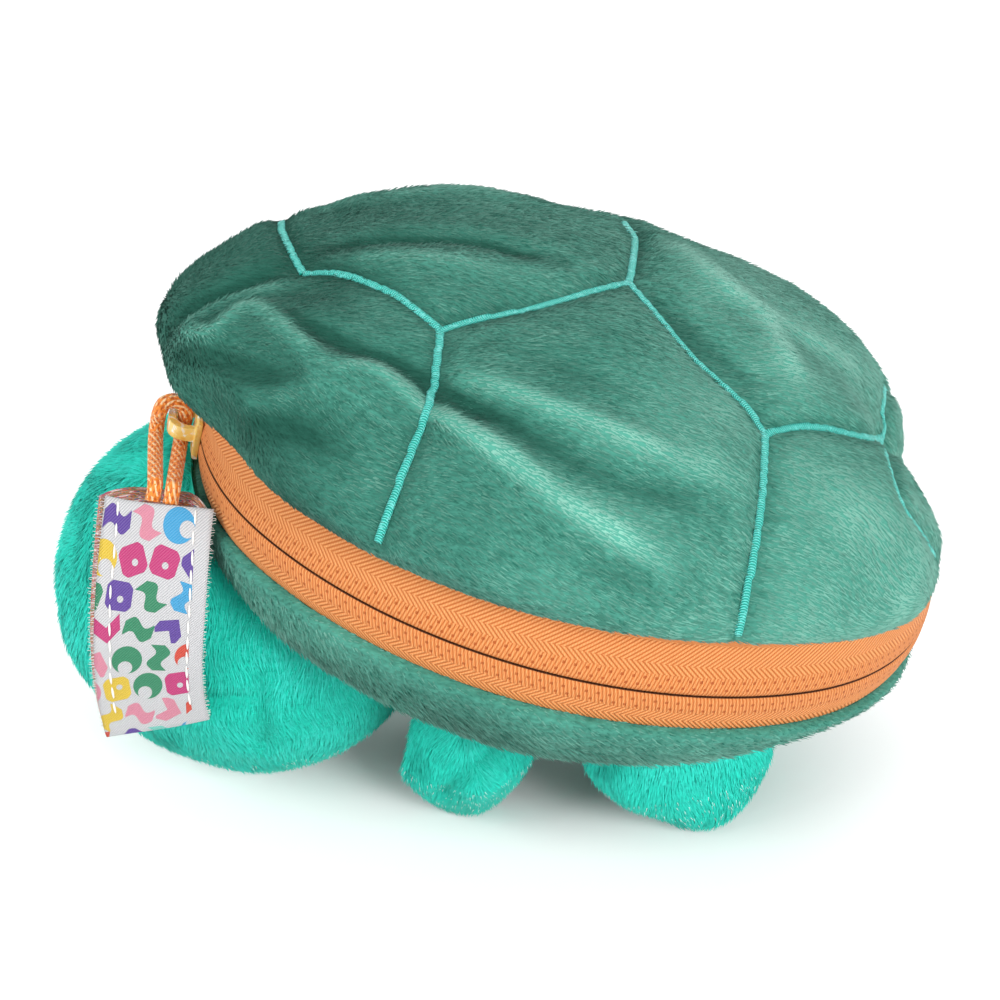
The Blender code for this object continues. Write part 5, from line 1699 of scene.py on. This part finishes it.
# Running stitches down both long sides, and the frayed edges
def labelThreads():
    white = mottledMaterial("whiteThread", (0.74, 0.72, 0.69), (0.88, 0.87, 0.85), 0.5, 800, 0.0001)
    bm = bmesh.new()
    step = (label["stitch"] + label["stitchGap"]) / (50 * mm)
    for across in (-1, 1):
        for i in range(int(0.94 / step)):
            share = 0.035 + i * step
            for run in (share, 2 - share):
                drift = 0.25 * mm * noise.noise(Vector((i * 0.9, across * 3.3, run)))
                inset = across * (1 - (label["margin"] + drift) / (label["width"] / 2))
                place = labelPlace(run, inset)
                ahead = (labelPlace(run + 0.01, inset + 0.004) - labelPlace(run - 0.01, inset)).normalized()
                up = labelFrame(min(share, 1))[1] * (1 if run < 1 else -1)
                spin = ahead.to_track_quat("Z", "Y").to_matrix()
                made = bmesh.ops.create_uvsphere(bm, u_segments=8, v_segments=8, radius=1)["verts"]
                for vert in made:
                    full = Vector((vert.co.x * 0.26, vert.co.y * 0.26, vert.co.z * label["stitch"] / mm / 2)) * mm
                    vert.co = place + up * 0.22 * mm + spin @ full
    stitches = addPiece("labelStitches", bm, "pull")
    stitches.data.materials.append(white)
    bm = bmesh.new()
    for i in range(label["ends"] * 4):
        share = 0.01 + 0.97 * (i // 4) / label["ends"]
        run = share if i % 2 else 2 - share
        side = 1 if i % 4 < 2 else -1
        wander = noise.noise_vector(Vector((i * 3.1, 0.7, 0.2)))
        root = labelPlace(run, side * 0.985)
        out = (labelSide(share) * side + wander * 0.9).normalized()
        depth = (0.8 + 1.6 * abs(wander.x)) * mm
        made = bmesh.ops.create_cone(bm, cap_ends=True, segments=4, radius1=0.1 * mm, radius2=0.04 * mm, depth=depth)
        spin = out.to_track_quat("Z", "Y").to_matrix()
        for vert in made["verts"]:
            vert.co = root + out * 0.3 * mm + spin @ vert.co
    fray = addPiece("labelFray", bm, "pull")
    fray.data.materials.append(white)
    return [stitches, fray]


makeLabel()
print("stage: label")


# Floor, lights and background, with a painted shadow where the floor's glow fades out under the toy
setting = {"floor": (0.86, 0.86, 0.86), "lift": 0.31, "under": (0.026, 0.056), "world": 0.52,
           "key": (0.85, -0.95, 0.62, 0.5, 14.0), "fill": (-0.95, -0.60, 0.70, 0.8, 9.0), "back": (0.2, 0.9, 0.8, 0.8, 4.0)}


def makeSetting():
    bm = bmesh.new()
    bmesh.ops.create_grid(bm, x_segments=2, y_segments=2, size=6)
    mesh = bpy.data.meshes.new("floor")
    bm.to_mesh(mesh)
    bm.free()
    floor = bpy.data.objects.new("floor", mesh)
    scene.collection.objects.link(floor)
    material, tree, shader = newMaterial("floorPaper", setting["floor"], 0.9)
    path = addNode(tree, "ShaderNodeLightPath")
    seen = mathNode(tree, "MAXIMUM", path.outputs["Is Camera Ray"],
                    mathNode(tree, "MAXIMUM", path.outputs["Is Glossy Ray"], path.outputs["Is Transmission Ray"]))
    shader.inputs["Emission Color"].default_value = (1, 1, 1, 1)
    place = addNode(tree, "ShaderNodeVectorMath", operation="MULTIPLY_ADD")
    tree.links.new(addNode(tree, "ShaderNodeTexCoord").outputs["Object"], place.inputs[0])
    place.inputs[1].default_value = (0.62, 1, 1)
    place.inputs[2].default_value = (-0.010, -0.018, 0)
    away = addNode(tree, "ShaderNodeVectorMath", operation="LENGTH")
    tree.links.new(place.outputs[0], away.inputs[0])
    # painted shadow: the floor's glow fades out close under the toy
    clear = addNode(tree, "ShaderNodeMapRange", interpolation_type="SMOOTHSTEP")
    tree.links.new(away.outputs["Value"], clear.inputs["Value"])
    clear.inputs["From Min"].default_value, clear.inputs["From Max"].default_value = setting["under"]
    lift = mathNode(tree, "MULTIPLY", mathNode(tree, "MULTIPLY", seen, clear.outputs[0]), setting["lift"])
    tree.links.new(lift, shader.inputs["Emission Strength"])
    mesh.materials.append(material)
    world = bpy.data.worlds.new("studio")
    scene.world = world
    world.use_nodes = True
    tree = world.node_tree
    back = tree.nodes["Background"]
    path = addNode(tree, "ShaderNodeLightPath")
    seen = mathNode(tree, "MAXIMUM", path.outputs["Is Camera Ray"],
                    mathNode(tree, "MAXIMUM", path.outputs["Is Glossy Ray"], path.outputs["Is Transmission Ray"]))
    level = mathNode(tree, "ADD", mathNode(tree, "MULTIPLY", seen, 1 - setting["world"]), setting["world"])
    back.inputs["Color"].default_value = (1, 1, 1, 1)
    tree.links.new(level, back.inputs["Strength"])
    for name in ("key", "fill", "back"):
        x, y, z, size, power = setting[name]
        data = bpy.data.lights.new(name, "AREA")
        data.size = size
        data.energy = power
        lamp = bpy.data.objects.new(name, data)
        lamp.location = (x, y, z)
        lamp.rotation_euler = (Vector((x, y, z)) - Vector((0, 0, 0.05))).to_track_quat("Z", "Y").to_euler()
        scene.collection.objects.link(lamp)
    scene.view_settings.view_transform = "Standard"


makeSetting()
bpy.data.objects.remove(tuft, do_unlink=True)
print("stage: setting")
